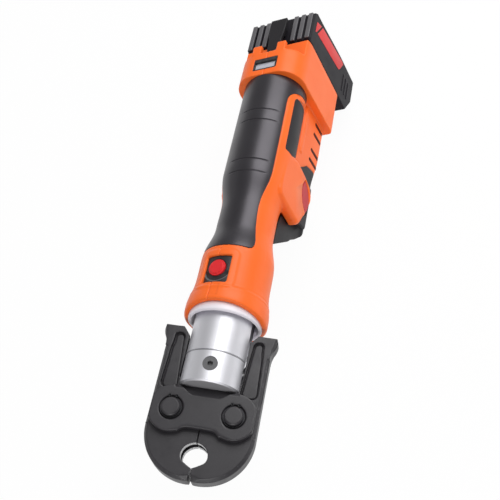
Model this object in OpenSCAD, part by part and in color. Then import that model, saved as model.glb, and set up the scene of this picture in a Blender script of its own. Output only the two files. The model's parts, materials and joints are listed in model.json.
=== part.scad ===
// Battery hydraulic press tool with a swivelling head and a pair of press jaws.
// Millimetres. The origin is the centre of the closed jaw opening, +X points away from the
// handle, +Z is the axis of the clamped pipe. Distances called "back" run along -X.

/* [Pose] */
// Roll of the handle about the tool axis against the head
handle_roll = 22; // [0:1:45]

/* [Jaws] */
// Radius of the closed jaw opening at its two lips
opening_r = 11.3; // [6:0.1:18]
// Radius of the bead groove between the lips
bead_r = 13.9; // [8:0.1:20]
// Width of the bead groove
bead_w = 6.4; // [3:0.1:10]
// Thickness of the jaw arms
jaw_t = 16; // [12:0.5:22]
// Half width of the closed jaw pair
jaw_half_w = 42.8; // [34:0.2:52]
// Length of the jaw tips in front of the opening centre
jaw_front = 16.5; // [14:0.1:24]
// Radius of the rounded jaw front
front_arc_r = 38; // [30:0.5:46]
// Chamfer along the outer edges of the jaws
jaw_chamfer = 2.4; // [0.5:0.1:4]
// Gap between the two closed jaws
split_gap = 0.7; // [0.3:0.05:1.5]
// Back distance of the jaw pivots
pivot_back = 33.8; // [26:0.2:44]
// Half spacing of the jaw pivots
pivot_half = 24.4; // [18:0.2:30]
// Radius of the jaw pivot pins
pivot_r = 7.4; // [4:0.1:9]
// Back distance of the tail ends
tail_back = 104.7; // [90:0.5:120]
// Half width over the tail ears
tail_half_w = 47; // [43:0.2:54]
// Length of a tail ear
tail_ear_len = 10; // [6:0.5:16]
// Opening angle of each jaw with the ram drawn back
jaw_open_deg = 13; // [6:0.5:15]

/* [Jaw plates] */
// Thickness of a jaw side plate
plate_t = 5.5; // [3:0.1:8]
// Radius of the plate lobes round the pivots
lobe_r = 18.4; // [14:0.2:24]
// Back distance of the plate web between the lobes
web_back = 20.6; // [14:0.2:30]
// Radius of the blends between the lobes and the web
web_blend_r = 9; // [4:0.5:14]
// Half width of the plate tongue
tongue_half_w = 10; // [7:0.2:13]
// Thickness of the plate tongue
tongue_t = 3.1; // [2:0.1:5]

/* [Head] */
// Radius of the yoke
yoke_r = 25.2; // [20:0.1:32]
// Back distance of the yoke front face
yoke_front = 54.3; // [44:0.2:64]
// Thickness of the closed rear end of the yoke
yoke_floor_t = 9.5; // [6:0.5:16]
// Back distance of the lock pin
lock_back = 69; // [60:0.2:80]
// Radius of the lock pin
lock_r = 6; // [4:0.1:8]
// Radius of the pressing rollers
roller_r = 11.4; // [8:0.1:14]
// Half spacing of the rollers
roller_half = 13.2; // [11:0.1:18]
// Width of the rollers
roller_w = 9; // [5:0.1:12]
// Stroke of the ram
ram_stroke = 38; // [20:1:45]
// Radius of the ram rod
rod_r = 9; // [6:0.1:12]
// Radius of the piston
piston_r = 16; // [12:0.1:18]

/* [Handle] */
// Back distance of the collar front
collar_front = 114; // [106:0.5:124]
// Radius of the front collar
collar_r = 35.2; // [30:0.1:40]
// Length of the front collar
collar_len = 17; // [10:0.5:26]
// Wall of the swivel bearing
bearing_t = 3.3; // [1.5:0.1:4]
// Back distance where the barrel starts to narrow
barrel_back = 168; // [150:1:180]
// Radius of the waist
waist_r = 25.9; // [23.5:0.1:30]
// Back distance of the waist front
waist_front = 202; // [190:1:210]
// Back distance of the waist rear
waist_rear = 224; // [214:1:234]
// Radius of the grip
grip_r = 31.2; // [27:0.1:36]
// Back distance where the grip reaches its radius
grip_front = 262; // [250:1:280]
// Back distance of the tail front
tail_front = 371; // [350:1:390]
// Wall of the housing
wall = 2.8; // [2:0.1:4]
// Half width of the belly
belly_half_w = 27.2; // [22:0.2:32]
// Depth of the belly under the tool axis
belly_depth = 67; // [50:0.5:80]
// Half width of the tail block
tail_block_half_w = 35.6; // [30:0.2:42]
// Length of the tail block
tail_len = 53; // [40:0.5:70]
// Height of the tail block over the tool axis
tail_top = 32; // [26:0.2:40]
// Back travel of the trigger
trigger_travel = 5; // [2:0.5:6]

/* [Battery] */
// Thickness of the battery behind the tail
battery_t = 57; // [48:0.5:80]
// Half width of the battery
battery_half_w = 35.6; // [32:0.2:40]
// Height of the battery top over the tool axis
battery_top = 15; // [8:0.5:22]
// Length of the battery
battery_len = 113.5; // [100:0.5:130]

/* [Hidden] */
// Circle steps
$fn = 96;
// Overrun of cuts
over = 1;
// Gap between pieces that move against each other
gap = 0.3;
// Clearance of a running fit
run = 0.05;
// Clearance of a piece that sits still in its seat
seat = 0.2;

// Jaws
jaw_half = jaw_t / 2;
arc_back = front_arc_r - jaw_front - split_gap / 2;
arc_off = jaw_half_w - front_arc_r;
ear_step = tail_half_w - jaw_half_w;
ear_front = tail_back - tail_ear_len - 2 * ear_step;
tail_in = roller_half + roller_r + gap;
tail_lead = 7.2;
tail_lead_w = 5.9;
heel_lead = 9.8;
heel_back = pivot_back - heel_lead;
heel_len = 37;
heel_shares = [[0.46, 0.53], [0.72, 0.6], [0.9, 0.82], [1, 1]];
pocket_depth = 2.2;
pocket_margin = 3.8;
pocket_end = 5.3;
pocket_start = 17.2;
pocket_r = 4.6;
pocket_taper = 3.4;
cam_steps = 20;

// Side plates, pins and retaining rings
plate_low = jaw_half + gap;
plate_high = plate_low + plate_t;
tongue_high = jaw_half - gap / 2;
tongue_low = tongue_high - tongue_t;
tongue_root = 9;
tongue_front = yoke_front - gap - tongue_root;
pivot_proud = 2;
pin_bevel = 0.8;
ring_seat_w = 1.9;
ring_seat_r = pivot_r + ring_seat_w;
ring_seat_t = 1.4;
ring_w = 1.5;
ring_t = 1.1;
ring_bite = 0.5;
ring_open_deg = 40;
ring_lug_r = 0.8;

// Roller carriage, placed behind the tongues
axle_r = 3;
axle_eye_r = 3.9;
carriage_clear = 1.6;
roller_back = lock_back + tongue_half_w + carriage_clear;
carriage_low = roller_w / 2 + gap;
carriage_high = jaw_half - gap / 2;
carriage_len = 17;
carriage_wall = 5;
carriage_rear = roller_back + carriage_len;

// Yoke, long enough for the drawn back carriage
slot_half = jaw_half + gap;
slot_clear = 0.9;
slot_rear = carriage_rear + ram_stroke + slot_clear;
yoke_rear = slot_rear + yoke_floor_t;
yoke_chamfer = 1.4;
groove_lead = 25.9;
groove_back = yoke_front + groove_lead;
groove_w = 0.8;
groove_d = 0.5;
lock_sink = 0.5;
lock_socket_r = 2.2;
lock_socket_d = 2.5;
lock_knob_r = 9.5;
lock_knob_t = 8;

// Swivel ring and bearing in the collar
ring_proud = 1.5;
ring_len = 11.5;
ring_front = collar_front - ring_proud;
ring_rear = ring_front + ring_len;
ring_in_r = yoke_r + gap;
collar_wall = 4;
ring_out_r = collar_r - collar_wall;
bearing_len = 12;
bearing_rear = ring_rear + bearing_len;
bearing_r = ring_in_r + bearing_t;

// Barrel, waist, grip and belly
barrel_r = bearing_r + seat + wall;
collar_rear = collar_front + collar_len;
collar_chamfer = 1.6;
shoulder_len = 5;
ease_steps = 6;
belly_lead = 19;
belly_front = waist_rear + belly_lead;
belly_corner_r = 8;
belly_nose_shares = [0.66, 0.81, 0.92];

// Tail block
tail_rear = tail_front + tail_len;
tail_step = 22;
tail_top_rear = tail_rear - tail_step;
tail_corner_r = 24;
tail_bottom_r = 4;
tail_cut_z = battery_top + 2 * over;
tail_solid = 24;
prong_len = 11;
prong_rear = tail_top_rear + prong_len;
prong_in = 8.6;
prong_out = 18;
prong_t = 5;

// Grip skin
skin = 1.7;
grip_edge = barrel_back + wall;
grip_low = 18.4;
grip_mid_low = 14.2;
grip_wave_lead = 12;
grip_wave_back = waist_rear + grip_wave_lead;
grip_corner = 4;
grip_corner_share = 0.3;
grip_tail_low = -20;
grip_tail_lead = 11;
grip_tail_back = tail_front - grip_tail_lead;
grip_seam = 0.15;
grip_groove_w = 1;
grip_groove_d = 0.6;
grip_groove_shares = [-0.01, 0.12, 0.57, 0.66];
grip_groove_low = 22;

// Side panels
panel_lead = 29;
panel_end = 14;
panel_front = grip_front + panel_lead;
panel_rear = tail_front - panel_end;
panel_high = 7.5;
panel_low = -16;
panel_slant = 8;
panel_r = 3;
panel_seam = 0.1;
rim_w = 4;

// Leaf pads and release buttons
leaf_proud = 1.7;
leaf_lead = 1.5;
leaf_front = belly_front - leaf_lead;
leaf_len = 54;
leaf_high = 5;
leaf_lift = 5.5;
leaf_low = leaf_lift - belly_depth;
leaf_shares = [[0.12, 0.05], [0.5, 0.04], [0.85, 0.09], [1, 0.3], [0.95, 0.52], [0.86, 0.88], [0.66, 1],
    [0.28, 0.92], [0, 0.72]];
almond_lead = 30.2;
almond_lift = 14.9;
almond_back = leaf_front + almond_lead;
almond_z = leaf_low + almond_lift;
almond_half = 14.6;
almond_rise = 7.2;
almond_tilt = 20;
almond_t = 4;
almond_sink = 0.5;

// Trigger
trigger_half_w = 21;
trigger_wall = 3;
trigger_front = waist_front + over;
trigger_reach = 14;
trigger_rear = belly_front + trigger_reach;
trigger_shares = [[0, 0.1], [0.15, 0.3], [0.35, 0.57], [0.57, 0.8], [0.8, 0.96], [1, 1]];
trigger_top = -12;
trigger_lift = 1.4;
trigger_low = trigger_lift - belly_depth;
trigger_stem_r = 4;
trigger_stem_inset = 12;

// Belly skin, vents and the bar over the vents
belly_grip_front = trigger_rear + trigger_travel + over;
belly_grip_len = 50;
belly_grip_rear = belly_grip_front + belly_grip_len;
belly_grip_high = -28;
belly_grip_shares = [[0.7, 0], [0.92, 0.34], [1, 0.75], [1, 1]];
belly_plain = tail_front - belly_grip_rear;
vent_shares = [0.1, 0.31, 0.66, 0.88];
vent_w = 3;
vent_high = -43;
vent_lift = 7;
vent_low = vent_lift - belly_depth;
bar_front = belly_grip_rear - over;
bar_end = 9;
bar_rear = tail_front - bar_end;
bar_z = -25;
bar_h = 5;
bar_proud = 1;

// Screws
screw_head_r = 3.2;
screw_head_t = 3;
screw_shank_r = 1.7;
screw_sink = 1;
screw_reach = 7;
screw_drive_r = 1.5;
boss_r = 5.4;
belly_screw_shares = [[0.52, 0.55], [0.91, 0.835]];
tail_screw_shares = [[0.434, -0.04], [0.434, 0.835]];

// Button pad over the yoke end
pad_clear = 1;
pad_low = yoke_r + pad_clear;
pad_lead = 0.4;
pad_front = collar_rear + shoulder_len + pad_lead;
pad_len = 26.6;
pad_rear = pad_front + pad_len;
pad_half_w = 11.3;
pad_sink = 1.2;
button_lead = 15.2;
button_back = pad_front + button_lead;
button_r = 7.6;
button_proud = 2.4;
button_travel = 2;
button_low = pad_low + button_travel;
button_high = barrel_r - pad_sink + button_proud;

// Display
window_lead = 7;
window_front = tail_front + window_lead;
window_len = 15;
window_rear = window_front + window_len;
window_half_w = 12.4;
window_sink = 2.4;
window_t = 1.6;
board_t = 1.6;

// Hydraulic cylinder and ram
cylinder_gap = 3;
cylinder_front = yoke_rear + cylinder_gap;
gland_t = 11;
gland_rear = cylinder_front + gland_t;
piston_clear = 1.6;
piston_back = gland_rear + piston_clear;
piston_t = 12;
piston_end = piston_back + piston_t;
seal_mid = (piston_back + piston_end) / 2;
seal_w = 3;
seal_d = 1.6;
bore_end = 2.4;
cylinder_bore_rear = piston_end + ram_stroke + bore_end;
cylinder_floor = 10;
cylinder_rear = cylinder_bore_rear + cylinder_floor;
flange_front = pad_rear + over;
flange_t = 6;

// Pump and drive
drive_clear = 0.9;
pump_r = waist_r - wall - drive_clear;
pump_len = 28;
pump_rear = cylinder_rear + pump_len;
plunger_r = 3.5;
eccentric_lead = 10;
eccentric_back = pump_rear + eccentric_lead;
eccentric_r = 8;
eccentric_off = 1.4;
eccentric_w = 7;
arm_high = pump_r - over;
shaft_r = 3;
gearbox_front = eccentric_back + eccentric_lead;
gearbox_len = 28;
gearbox_rear = gearbox_front + gearbox_len;
gearbox_r = 22;
motor_len = 56;
motor_rear = gearbox_rear + motor_len;
motor_shaft_r = 4;
motor_r = 20.5;
can_lead = 4;
bladder_share = 0.415;
bladder_r = bladder_share * (belly_depth - wall - 2 * seat - motor_r);
bladder_len = 36;
bladder_z = wall + seat + bladder_r - belly_depth;
bladder_front = gearbox_rear;
bladder_band_w = 4;

// Electrics
control_lead = 9;
control_back = tail_front + control_lead;
control_t = 1.6;
control_half_w = tail_block_half_w - wall;
control_low_share = 0.776;
control_low = -belly_depth * control_low_share;
control_high = tail_top - tail_corner_r;
switch_gap = 1;
switch_half_w = 8;
switch_len = 20;
switch_low = wall - belly_depth;
switch_high_share = 0.5075;
switch_high = -belly_depth * switch_high_share;
stem_drop = 8;
stem_reach = 11;
trigger_stem_z = switch_high - stem_drop;
trigger_stem_rear = trigger_rear + stem_reach;
switch_front = trigger_stem_rear + trigger_travel + switch_gap;
terminal_rear = tail_rear - tail_solid;
terminal_t = 8;
terminal_half_w = 14;
terminal_shares = [0.687, 0.075];
terminal_low = -belly_depth * terminal_shares[0];
terminal_high = -belly_depth * terminal_shares[1];

// Rail between tail and battery
rail_wall = 4;
rail_neck = 19.4;
rail_head = 23.4;
rail_head_t = 5.6;
rail_drop = 7;
rail_len = 62;
rail_high = battery_top - rail_drop;
rail_low = rail_high - rail_len;
rail_face = tail_rear - rail_wall - gap - rail_head_t;

// Battery
battery_front = tail_rear + gap;
battery_rear = battery_front + battery_t;
battery_low = battery_top - battery_len;
battery_corner = 6.5;
battery_bevel = 11;
battery_toe_len = 20;
battery_toe_rise = 11;
battery_wall = 2.6;
rib_count = 9;
rib_w = 6.2;
rib_proud = 3;
rib_pitch = 8;
rib_len = 40;
rib_clear = 12;
stripe_t = 0.6;
stripe_h = 62;
stripe_w = 11;
stripe_drop = 13;
stripe_lead = 37.7;
stripe_top = battery_top - stripe_drop;
stripe_back = battery_front + stripe_lead;
contact_count = 3;
contact_pitch = 9;
contact_t = 1;
contact_w = 6;

// Battery latch
latch_half_w = 7.4;
latch_t = 4;
latch_lead = 0.4;
latch_channel_front = tail_top_rear + latch_lead;
latch_front = latch_channel_front + over;
latch_reach = 36;
latch_rear = battery_front + latch_reach;
latch_travel = 2;
latch_rise = 6;
latch_low = battery_top + latch_rise;
latch_stem_lead = 15.7;
latch_stem_front = battery_front + latch_stem_lead;
latch_stem_len = 12;
latch_stem_rear = latch_stem_front + latch_stem_len;
latch_stem_half_w = latch_half_w - wall;
latch_stem_drop = 11;
latch_stem_low = battery_top - latch_stem_drop;

// Cells, as many as fit under the latch stem
cell_r = 9.2;
cell_clear = 0.5;
cell_lead = 8;
cell_lift = 2.6;
cell_len = 2 * (battery_half_w - battery_wall - cell_clear);
cell_pitch = 19;
cell_row = 2 * cell_r + over;
cell_low = battery_low + battery_wall + cell_lift;
cell_room = latch_stem_low - latch_travel - gap - cell_low - 2 * cell_r;
cell_count = floor(cell_room / cell_pitch) + 1;

// Shares of a smooth step
function ease(t) = (1 - cos(180 * t)) / 2;
// Rounded step of a lathe outline from one back distance and radius to another
function step_pts(b0, r0, b1, r1) =
    [for (i = [0 : ease_steps]) [r0 + (r1 - r0) * ease(i / ease_steps), b0 + (b1 - b0) * i / ease_steps]];
// Roller centre seen from a jaw, for a share of the stroke
function cam_point(s) = let (a = -jaw_open_deg * s, x = pivot_back - roller_back - ram_stroke * s,
    y = roller_half - pivot_half)
    [x * cos(a) - y * sin(a) - pivot_back, x * sin(a) + y * cos(a) + pivot_half];

// Cylinder along the tool axis between two back distances
module bar_x(front, rear, r) {
    translate([-rear, 0, 0]) rotate([0, 90, 0]) cylinder(h = rear - front, r = r);
}
// Box between two back distances, symmetric in Y
module box_x(front, rear, half_w, low, high) {
    translate([-rear, -half_w, low]) cube([rear - front, 2 * half_w, high - low]);
}
// Body of revolution about the tool axis from radius and back pairs
module lathe(pts) {
    rotate([0, -90, 0]) rotate_extrude() polygon(pts);
}
// Prism along Y from an outline in X and Z
module side_prism(y0, y1) {
    translate([0, y1, 0]) rotate([90, 0, 0]) linear_extrude(y1 - y0) children();
}
// Prism along X from an outline in Y and Z
module section_prism(front, rear) {
    translate([-rear, 0, 0]) rotate([90, 0, 90]) linear_extrude(rear - front) children();
}
// Handle parts are drawn upright and rolled about the tool axis
module rolled() {
    rotate([handle_roll, 0, 0]) children();
}
// Both sides of the tool
module both_sides() {
    children();
    mirror([0, 1, 0]) children();
}
// Outline with round upper and lower corners
module rounded_section(half_w, low, high, r_low, r_high) {
    translate([-half_w, low + r_low]) square([2 * half_w, high - r_high - low - r_low]);
    translate([r_low - half_w, low]) square([2 * (half_w - r_low), r_low + over]);
    translate([r_high - half_w, high - r_high - over]) square([2 * (half_w - r_high), r_high + over]);
    for (s = [-1, 1]) {
        translate([s * (half_w - r_low), low + r_low]) circle(r = r_low);
        translate([s * (half_w - r_high), high - r_high]) circle(r = r_high);
    }
}

// Chamfered edge profile of the jaw front, as a lathe outline
module jaw_front_form() {
    translate([-arc_back, arc_off, 0]) rotate_extrude() polygon([[0, -jaw_half],
        [front_arc_r - jaw_chamfer, -jaw_half], [front_arc_r, jaw_chamfer - jaw_half],
        [front_arc_r, jaw_half - jaw_chamfer], [front_arc_r - jaw_chamfer, jaw_half], [0, jaw_half]]);
}
// Inner edge of a jaw from the split to its tail
function heel_pts() = [for (p = heel_shares) [-heel_back - heel_len * p[0], tail_in * p[1]]];
// Outline of the straight part of a jaw with its tail
module jaw_arm_outline() {
    polygon(concat([[-arc_back + over, split_gap / 2], [-heel_back, split_gap / 2]], heel_pts(),
        [[tail_lead - tail_back, tail_in], [-tail_back, tail_in + tail_lead_w],
        [-tail_back, tail_half_w - jaw_chamfer], [jaw_chamfer - tail_back, tail_half_w],
        [tail_ear_len - tail_back, tail_half_w], [-ear_front, jaw_half_w],
        [-arc_back, jaw_half_w], [-arc_back + over, jaw_half_w - over]]));
}
// Chamfered section of the straight part of a jaw
module jaw_arm_section() {
    polygon([[0, -jaw_half], [tail_half_w - jaw_chamfer, -jaw_half], [tail_half_w, jaw_chamfer - jaw_half],
        [tail_half_w, jaw_half - jaw_chamfer], [tail_half_w - jaw_chamfer, jaw_half], [0, jaw_half]]);
}
// Corner cut along the straight side of a jaw, seen along the tool axis
module side_chamfer_outline() {
    polygon([[jaw_half_w - jaw_chamfer - over, jaw_half + over],
        [jaw_half_w + over, jaw_half - jaw_chamfer - over], [jaw_half_w + over, jaw_half + over]]);
}
// Outline of a tail pocket
module pocket_outline() {
    pocket_out = jaw_half_w - pocket_margin - pocket_r;
    pocket_front = pivot_back + pocket_start + pocket_r;
    hull() {
        translate([pocket_end + pocket_r - tail_back, pocket_out - pocket_taper / 2]) circle(r = pocket_r);
        translate([-pocket_front, pocket_out]) circle(r = pocket_r);
        translate([-pocket_front, tail_in + pocket_r]) circle(r = pocket_r);
    }
}
module jaw() {
    difference() {
        union() {
            intersection() {
                jaw_front_form();
                translate([-arc_back, split_gap / 2, -jaw_half])
                    cube([front_arc_r, front_arc_r * 2, jaw_t]);
            }
            intersection() {
                translate([0, 0, -jaw_half]) linear_extrude(jaw_t) jaw_arm_outline();
                section_prism(0, tail_back) jaw_arm_section();
            }
        }
        cylinder(h = jaw_t + 2 * over, r = opening_r, center = true);
        cylinder(h = bead_w, r = bead_r, center = true);
        translate([-pivot_back, pivot_half, 0])
            cylinder(h = jaw_t + 2 * over, r = pivot_r + run, center = true);
        for (k = [0, 1]) mirror([0, 0, k]) section_prism(arc_back, ear_front) side_chamfer_outline();
        for (i = [0 : cam_steps])
            translate(concat(cam_point(i / cam_steps), 0))
                cylinder(h = roller_w + 2 * gap, r = roller_r + gap, center = true);
        for (s = [-1, 1])
            translate([0, 0, s * (jaw_half - pocket_depth / 2 + over / 2)])
                linear_extrude(pocket_depth + over, center = true) pocket_outline();
    }
}
module jaw_right() {
    color("#38363a") jaw();
}
module jaw_left() {
    color("#38363a") mirror([0, 1, 0]) jaw();
}

// Outline of a side plate
module plate_outline() {
    blend_x = web_blend_r - web_back;
    blend_y = pivot_half - sqrt(pow(lobe_r + web_blend_r, 2) - pow(blend_x + pivot_back, 2));
    difference() {
        union() {
            for (s = [-1, 1]) translate([-pivot_back, s * pivot_half]) circle(r = lobe_r);
            translate([-yoke_front + gap, -pivot_half]) square([yoke_front - gap - web_back, 2 * pivot_half]);
            polygon([[-web_back - over, -pivot_half], [-web_back, -blend_y], [-web_back, blend_y],
                [-web_back - over, pivot_half], [blend_x, blend_y], [blend_x, -blend_y]]);
            for (s = [-1, 1])
                polygon([[-web_back - over, s * blend_y], [-web_back - over, s * pivot_half],
                    [-pivot_back + lobe_r / 2, s * pivot_half],
                    [blend_x + (-pivot_back - blend_x) * web_blend_r / (lobe_r + web_blend_r),
                    s * (blend_y + (pivot_half - blend_y) * web_blend_r / (lobe_r + web_blend_r))],
                    [blend_x, s * blend_y]]);
        }
        for (s = [-1, 1]) translate([blend_x, s * blend_y]) circle(r = web_blend_r);
        translate([-web_back, -blend_y]) square([web_back, 2 * blend_y]);
        translate([-yoke_front - yoke_front, -jaw_half_w]) square([yoke_front + gap, 2 * jaw_half_w]);
        for (s = [-1, 1])
            translate([-2 * pivot_back, s * (3 * jaw_half_w / 2 - jaw_chamfer) - jaw_half_w / 2])
                square([2 * pivot_back, jaw_half_w]);
    }
}
// Tongue of a side plate, stepped inwards to fit the yoke slot
module tongue_outline() {
    translate([-lock_back, 0]) circle(r = tongue_half_w);
    translate([-lock_back, -tongue_half_w]) square([lock_back - tongue_front, 2 * tongue_half_w]);
}
module side_plate() {
    difference() {
        union() {
            translate([0, 0, plate_low]) linear_extrude(plate_t) plate_outline();
            translate([0, 0, tongue_low]) linear_extrude(tongue_t) tongue_outline();
            box_x(tongue_front, yoke_front - gap, tongue_half_w, tongue_low, plate_high - plate_t / 2);
        }
        for (s = [-1, 1]) translate([-pivot_back, s * pivot_half, 0]) {
            cylinder(h = plate_high + over, r = pivot_r);
            translate([0, 0, plate_high - ring_seat_t]) cylinder(h = ring_seat_t + over, r = ring_seat_r);
        }
        translate([-lock_back, 0, 0]) cylinder(h = plate_high, r = lock_r + run);
        // sloped relief behind the lobes
        translate([-yoke_front, 0, plate_high]) rotate([0, 45, 0])
            cube([plate_t, 2 * yoke_r, plate_t], center = true);
    }
}
module jaw_plate_top() {
    color("#3b393d") side_plate();
}
module jaw_plate_bottom() {
    color("#3b393d") mirror([0, 0, 1]) side_plate();
}
module jaw_pivot_pins() {
    color("#413f43") for (s = [-1, 1]) translate([-pivot_back, s * pivot_half, 0]) difference() {
        union() {
            cylinder(h = 2 * (plate_high + pivot_proud - pin_bevel), r = pivot_r, center = true);
            cylinder(h = 2 * (plate_high + pivot_proud), r = pivot_r - pin_bevel, center = true);
        }
        for (k = [-1, 1]) translate([0, 0, k * (plate_high - ring_seat_t + ring_t / 2)]) difference() {
            cylinder(h = ring_t, r = pivot_r + over, center = true);
            cylinder(h = ring_t + over, r = pivot_r - ring_bite, center = true);
        }
    }
}
module retaining_ring() {
    rotate([0, 0, ring_open_deg / 2]) rotate_extrude(angle = 360 - ring_open_deg)
        translate([pivot_r - ring_bite, 0]) square([ring_w, ring_t]);
    for (s = [-1, 1]) rotate([0, 0, s * ring_open_deg / 2]) translate([pivot_r + ring_bite, 0, 0])
        cylinder(h = ring_t, r = ring_lug_r);
}
module jaw_retaining_rings() {
    color("#2b2a2c") for (k = [0, 1]) mirror([0, 0, k]) for (s = [-1, 1])
        translate([-pivot_back, s * pivot_half, plate_high - ring_seat_t]) rotate([0, 0, 180])
            retaining_ring();
}

module head_yoke() {
    color("#c8c8d0") difference() {
        lathe([[0, yoke_front], [yoke_r - yoke_chamfer, yoke_front], [yoke_r, yoke_front + yoke_chamfer],
            [yoke_r, groove_back], [yoke_r - groove_d, groove_back],
            [yoke_r - groove_d, groove_back + groove_w], [yoke_r, groove_back + groove_w],
            [yoke_r, yoke_rear], [0, yoke_rear]]);
        box_x(0, slot_rear, yoke_r + over, -slot_half, slot_half);
        translate([-lock_back, 0, 0]) cylinder(h = 2 * yoke_r + over, r = lock_r + run, center = true);
        bar_x(carriage_rear - over, yoke_rear + over, rod_r + run);
    }
}
module jaw_lock_pin() {
    color("#3a3a3e") translate([-lock_back, 0, 0]) difference() {
        union() {
            translate([0, 0, -yoke_r - gap]) cylinder(h = 2 * yoke_r + gap - lock_sink, r = lock_r);
            translate([0, 0, -yoke_r - lock_knob_t - gap]) cylinder(h = lock_knob_t, r = lock_knob_r);
        }
        translate([0, 0, yoke_r - lock_sink - lock_socket_d])
            cylinder(h = lock_socket_d + over, r = lock_socket_r);
    }
}

module roller_carriage() {
    color("#8d8f94") difference() {
        union() {
            for (k = [0, 1]) mirror([0, 0, k]) translate([0, 0, carriage_low])
                linear_extrude(carriage_high - carriage_low) {
                    for (s = [-1, 1]) translate([-roller_back, s * roller_half]) circle(r = axle_eye_r);
                    translate([-carriage_rear, -roller_half - axle_eye_r])
                        square([carriage_len, 2 * (roller_half + axle_eye_r)]);
                }
            box_x(carriage_rear - carriage_wall, carriage_rear, roller_half + axle_eye_r, -carriage_high,
                carriage_high);
        }
        for (s = [-1, 1]) translate([-roller_back, s * roller_half, 0])
            cylinder(h = jaw_t + over, r = axle_r, center = true);
    }
}
module roller_axles() {
    color("#b9bbc0") for (s = [-1, 1]) translate([-roller_back, s * roller_half, 0])
        cylinder(h = 2 * carriage_high, r = axle_r, center = true);
}
module roller(s) {
    translate([-roller_back, s * roller_half, 0]) difference() {
        cylinder(h = roller_w, r = roller_r, center = true);
        cylinder(h = roller_w + over, r = axle_r + run, center = true);
    }
}
module roller_right() {
    color("#a4a6ab") roller(1);
}
module roller_left() {
    color("#a4a6ab") roller(-1);
}
module ram_rod() {
    color("#b4b6bb") difference() {
        union() {
            bar_x(carriage_rear, piston_end, rod_r);
            bar_x(piston_back, piston_end, piston_r - run);
        }
        difference() {
            bar_x(seal_mid - seal_w / 2, seal_mid + seal_w / 2, piston_r + over);
            bar_x(seal_mid - seal_w, seal_mid + seal_w, piston_r - run - seal_d);
        }
    }
}
module piston_seal() {
    color("#2a2a2a") difference() {
        bar_x(seal_mid - seal_w / 2, seal_mid + seal_w / 2, piston_r - run);
        bar_x(seal_mid - seal_w, seal_mid + seal_w, piston_r - run - seal_d);
    }
}

module swivel_ring() {
    color("#ebe6ee") rolled() lathe([[ring_in_r, ring_front + 2 * collar_chamfer],
        [ring_in_r + collar_chamfer, ring_front + collar_chamfer], [ring_out_r - collar_chamfer, ring_front],
        [ring_out_r, ring_front + collar_chamfer], [ring_out_r, ring_rear], [ring_in_r, ring_rear]]);
}
module swivel_bearing() {
    color("#77797e") rolled() lathe([[ring_in_r, ring_rear], [bearing_r, ring_rear],
        [bearing_r, bearing_rear], [ring_in_r, bearing_rear]]);
}

// Body of revolution of the handle, drawn in by a wall
module barrel_form(inset) {
    lathe(concat([[0, collar_front + inset], [collar_r - collar_chamfer - inset, collar_front + inset],
        [collar_r - inset, collar_front + collar_chamfer + inset]],
        step_pts(collar_rear, collar_r - inset, collar_rear + shoulder_len, barrel_r - inset),
        step_pts(barrel_back, barrel_r - inset, waist_front, waist_r - inset),
        step_pts(waist_rear, waist_r - inset, grip_front, grip_r - inset),
        [[grip_r - inset, tail_front + over], [0, tail_front + over]]));
}
// Side outline of the belly with its open front
module belly_side_outline() {
    polygon([[-belly_front - belly_corner_r, 0], [-belly_front, -belly_depth * belly_nose_shares[0]],
        [-belly_front - belly_corner_r, -belly_depth * belly_nose_shares[1]],
        [-belly_grip_front, -belly_depth * belly_nose_shares[2]], [-belly_grip_front, -belly_depth],
        [-tail_front - over, -belly_depth], [-tail_front - over, 0]]);
}
module belly_form(inset) {
    section_prism(belly_front - belly_corner_r, tail_front + over)
        rounded_section(belly_half_w - inset, inset - belly_depth, 0, belly_corner_r - inset, over);
}
module tail_form(inset) {
    section_prism(tail_front + inset, tail_rear - inset)
        rounded_section(tail_block_half_w - inset, inset - belly_depth, tail_top - inset, tail_bottom_r,
            tail_corner_r - inset);
}
// Outside of the handle
module handle_form() {
    barrel_form(0);
    intersection() {
        belly_form(0);
        side_prism(-belly_half_w, belly_half_w) belly_side_outline();
    }
    difference() {
        tail_form(0);
        box_x(tail_top_rear, tail_rear + over, tail_block_half_w, tail_cut_z, tail_top + over);
    }
    both_sides() translate([-prong_rear, prong_in, tail_top - prong_t])
        cube([prong_rear - tail_top_rear + over, prong_out - prong_in, prong_t]);
}
// Hollow of the handle
module handle_hollow() {
    lathe(concat([[0, collar_front - over], [ring_out_r, collar_front - over], [ring_out_r, ring_rear],
        [bearing_r, ring_rear], [bearing_r, collar_rear + shoulder_len]],
        step_pts(barrel_back, barrel_r - wall, waist_front, waist_r - wall),
        step_pts(waist_rear, waist_r - wall, grip_front, grip_r - wall),
        [[grip_r - wall, tail_front + 2 * wall], [0, tail_front + 2 * wall]]));
    intersection() {
        belly_form(wall);
        side_prism(-belly_half_w, belly_half_w) polygon([[-belly_front - belly_corner_r - wall, 0],
            [-belly_front - belly_corner_r - wall, -waist_r - wall],
            [over - belly_front + belly_corner_r, -waist_r - wall],
            [over - belly_front + belly_corner_r, -belly_depth], [-tail_front - over, -belly_depth],
            [-tail_front - over, 0]]);
    }
    intersection() {
        tail_form(wall);
        box_x(tail_front, terminal_rear, tail_block_half_w, -belly_depth, tail_top);
    }
    box_x(tail_front - over, tail_front + wall + over, belly_half_w - wall, belly_corner_r - belly_depth, 0);
}
// Slot for the battery rail and the latch
module rail_slot() {
    low = -belly_depth - over;
    box_x(tail_rear - rail_wall - over, tail_rear + over, rail_neck + gap, low, rail_high + gap);
    box_x(rail_face - gap, tail_rear - rail_wall, rail_head + gap, low, rail_high + gap);
    box_x(latch_channel_front, tail_rear + over, latch_half_w + gap, low, tail_top + over);
}
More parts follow.
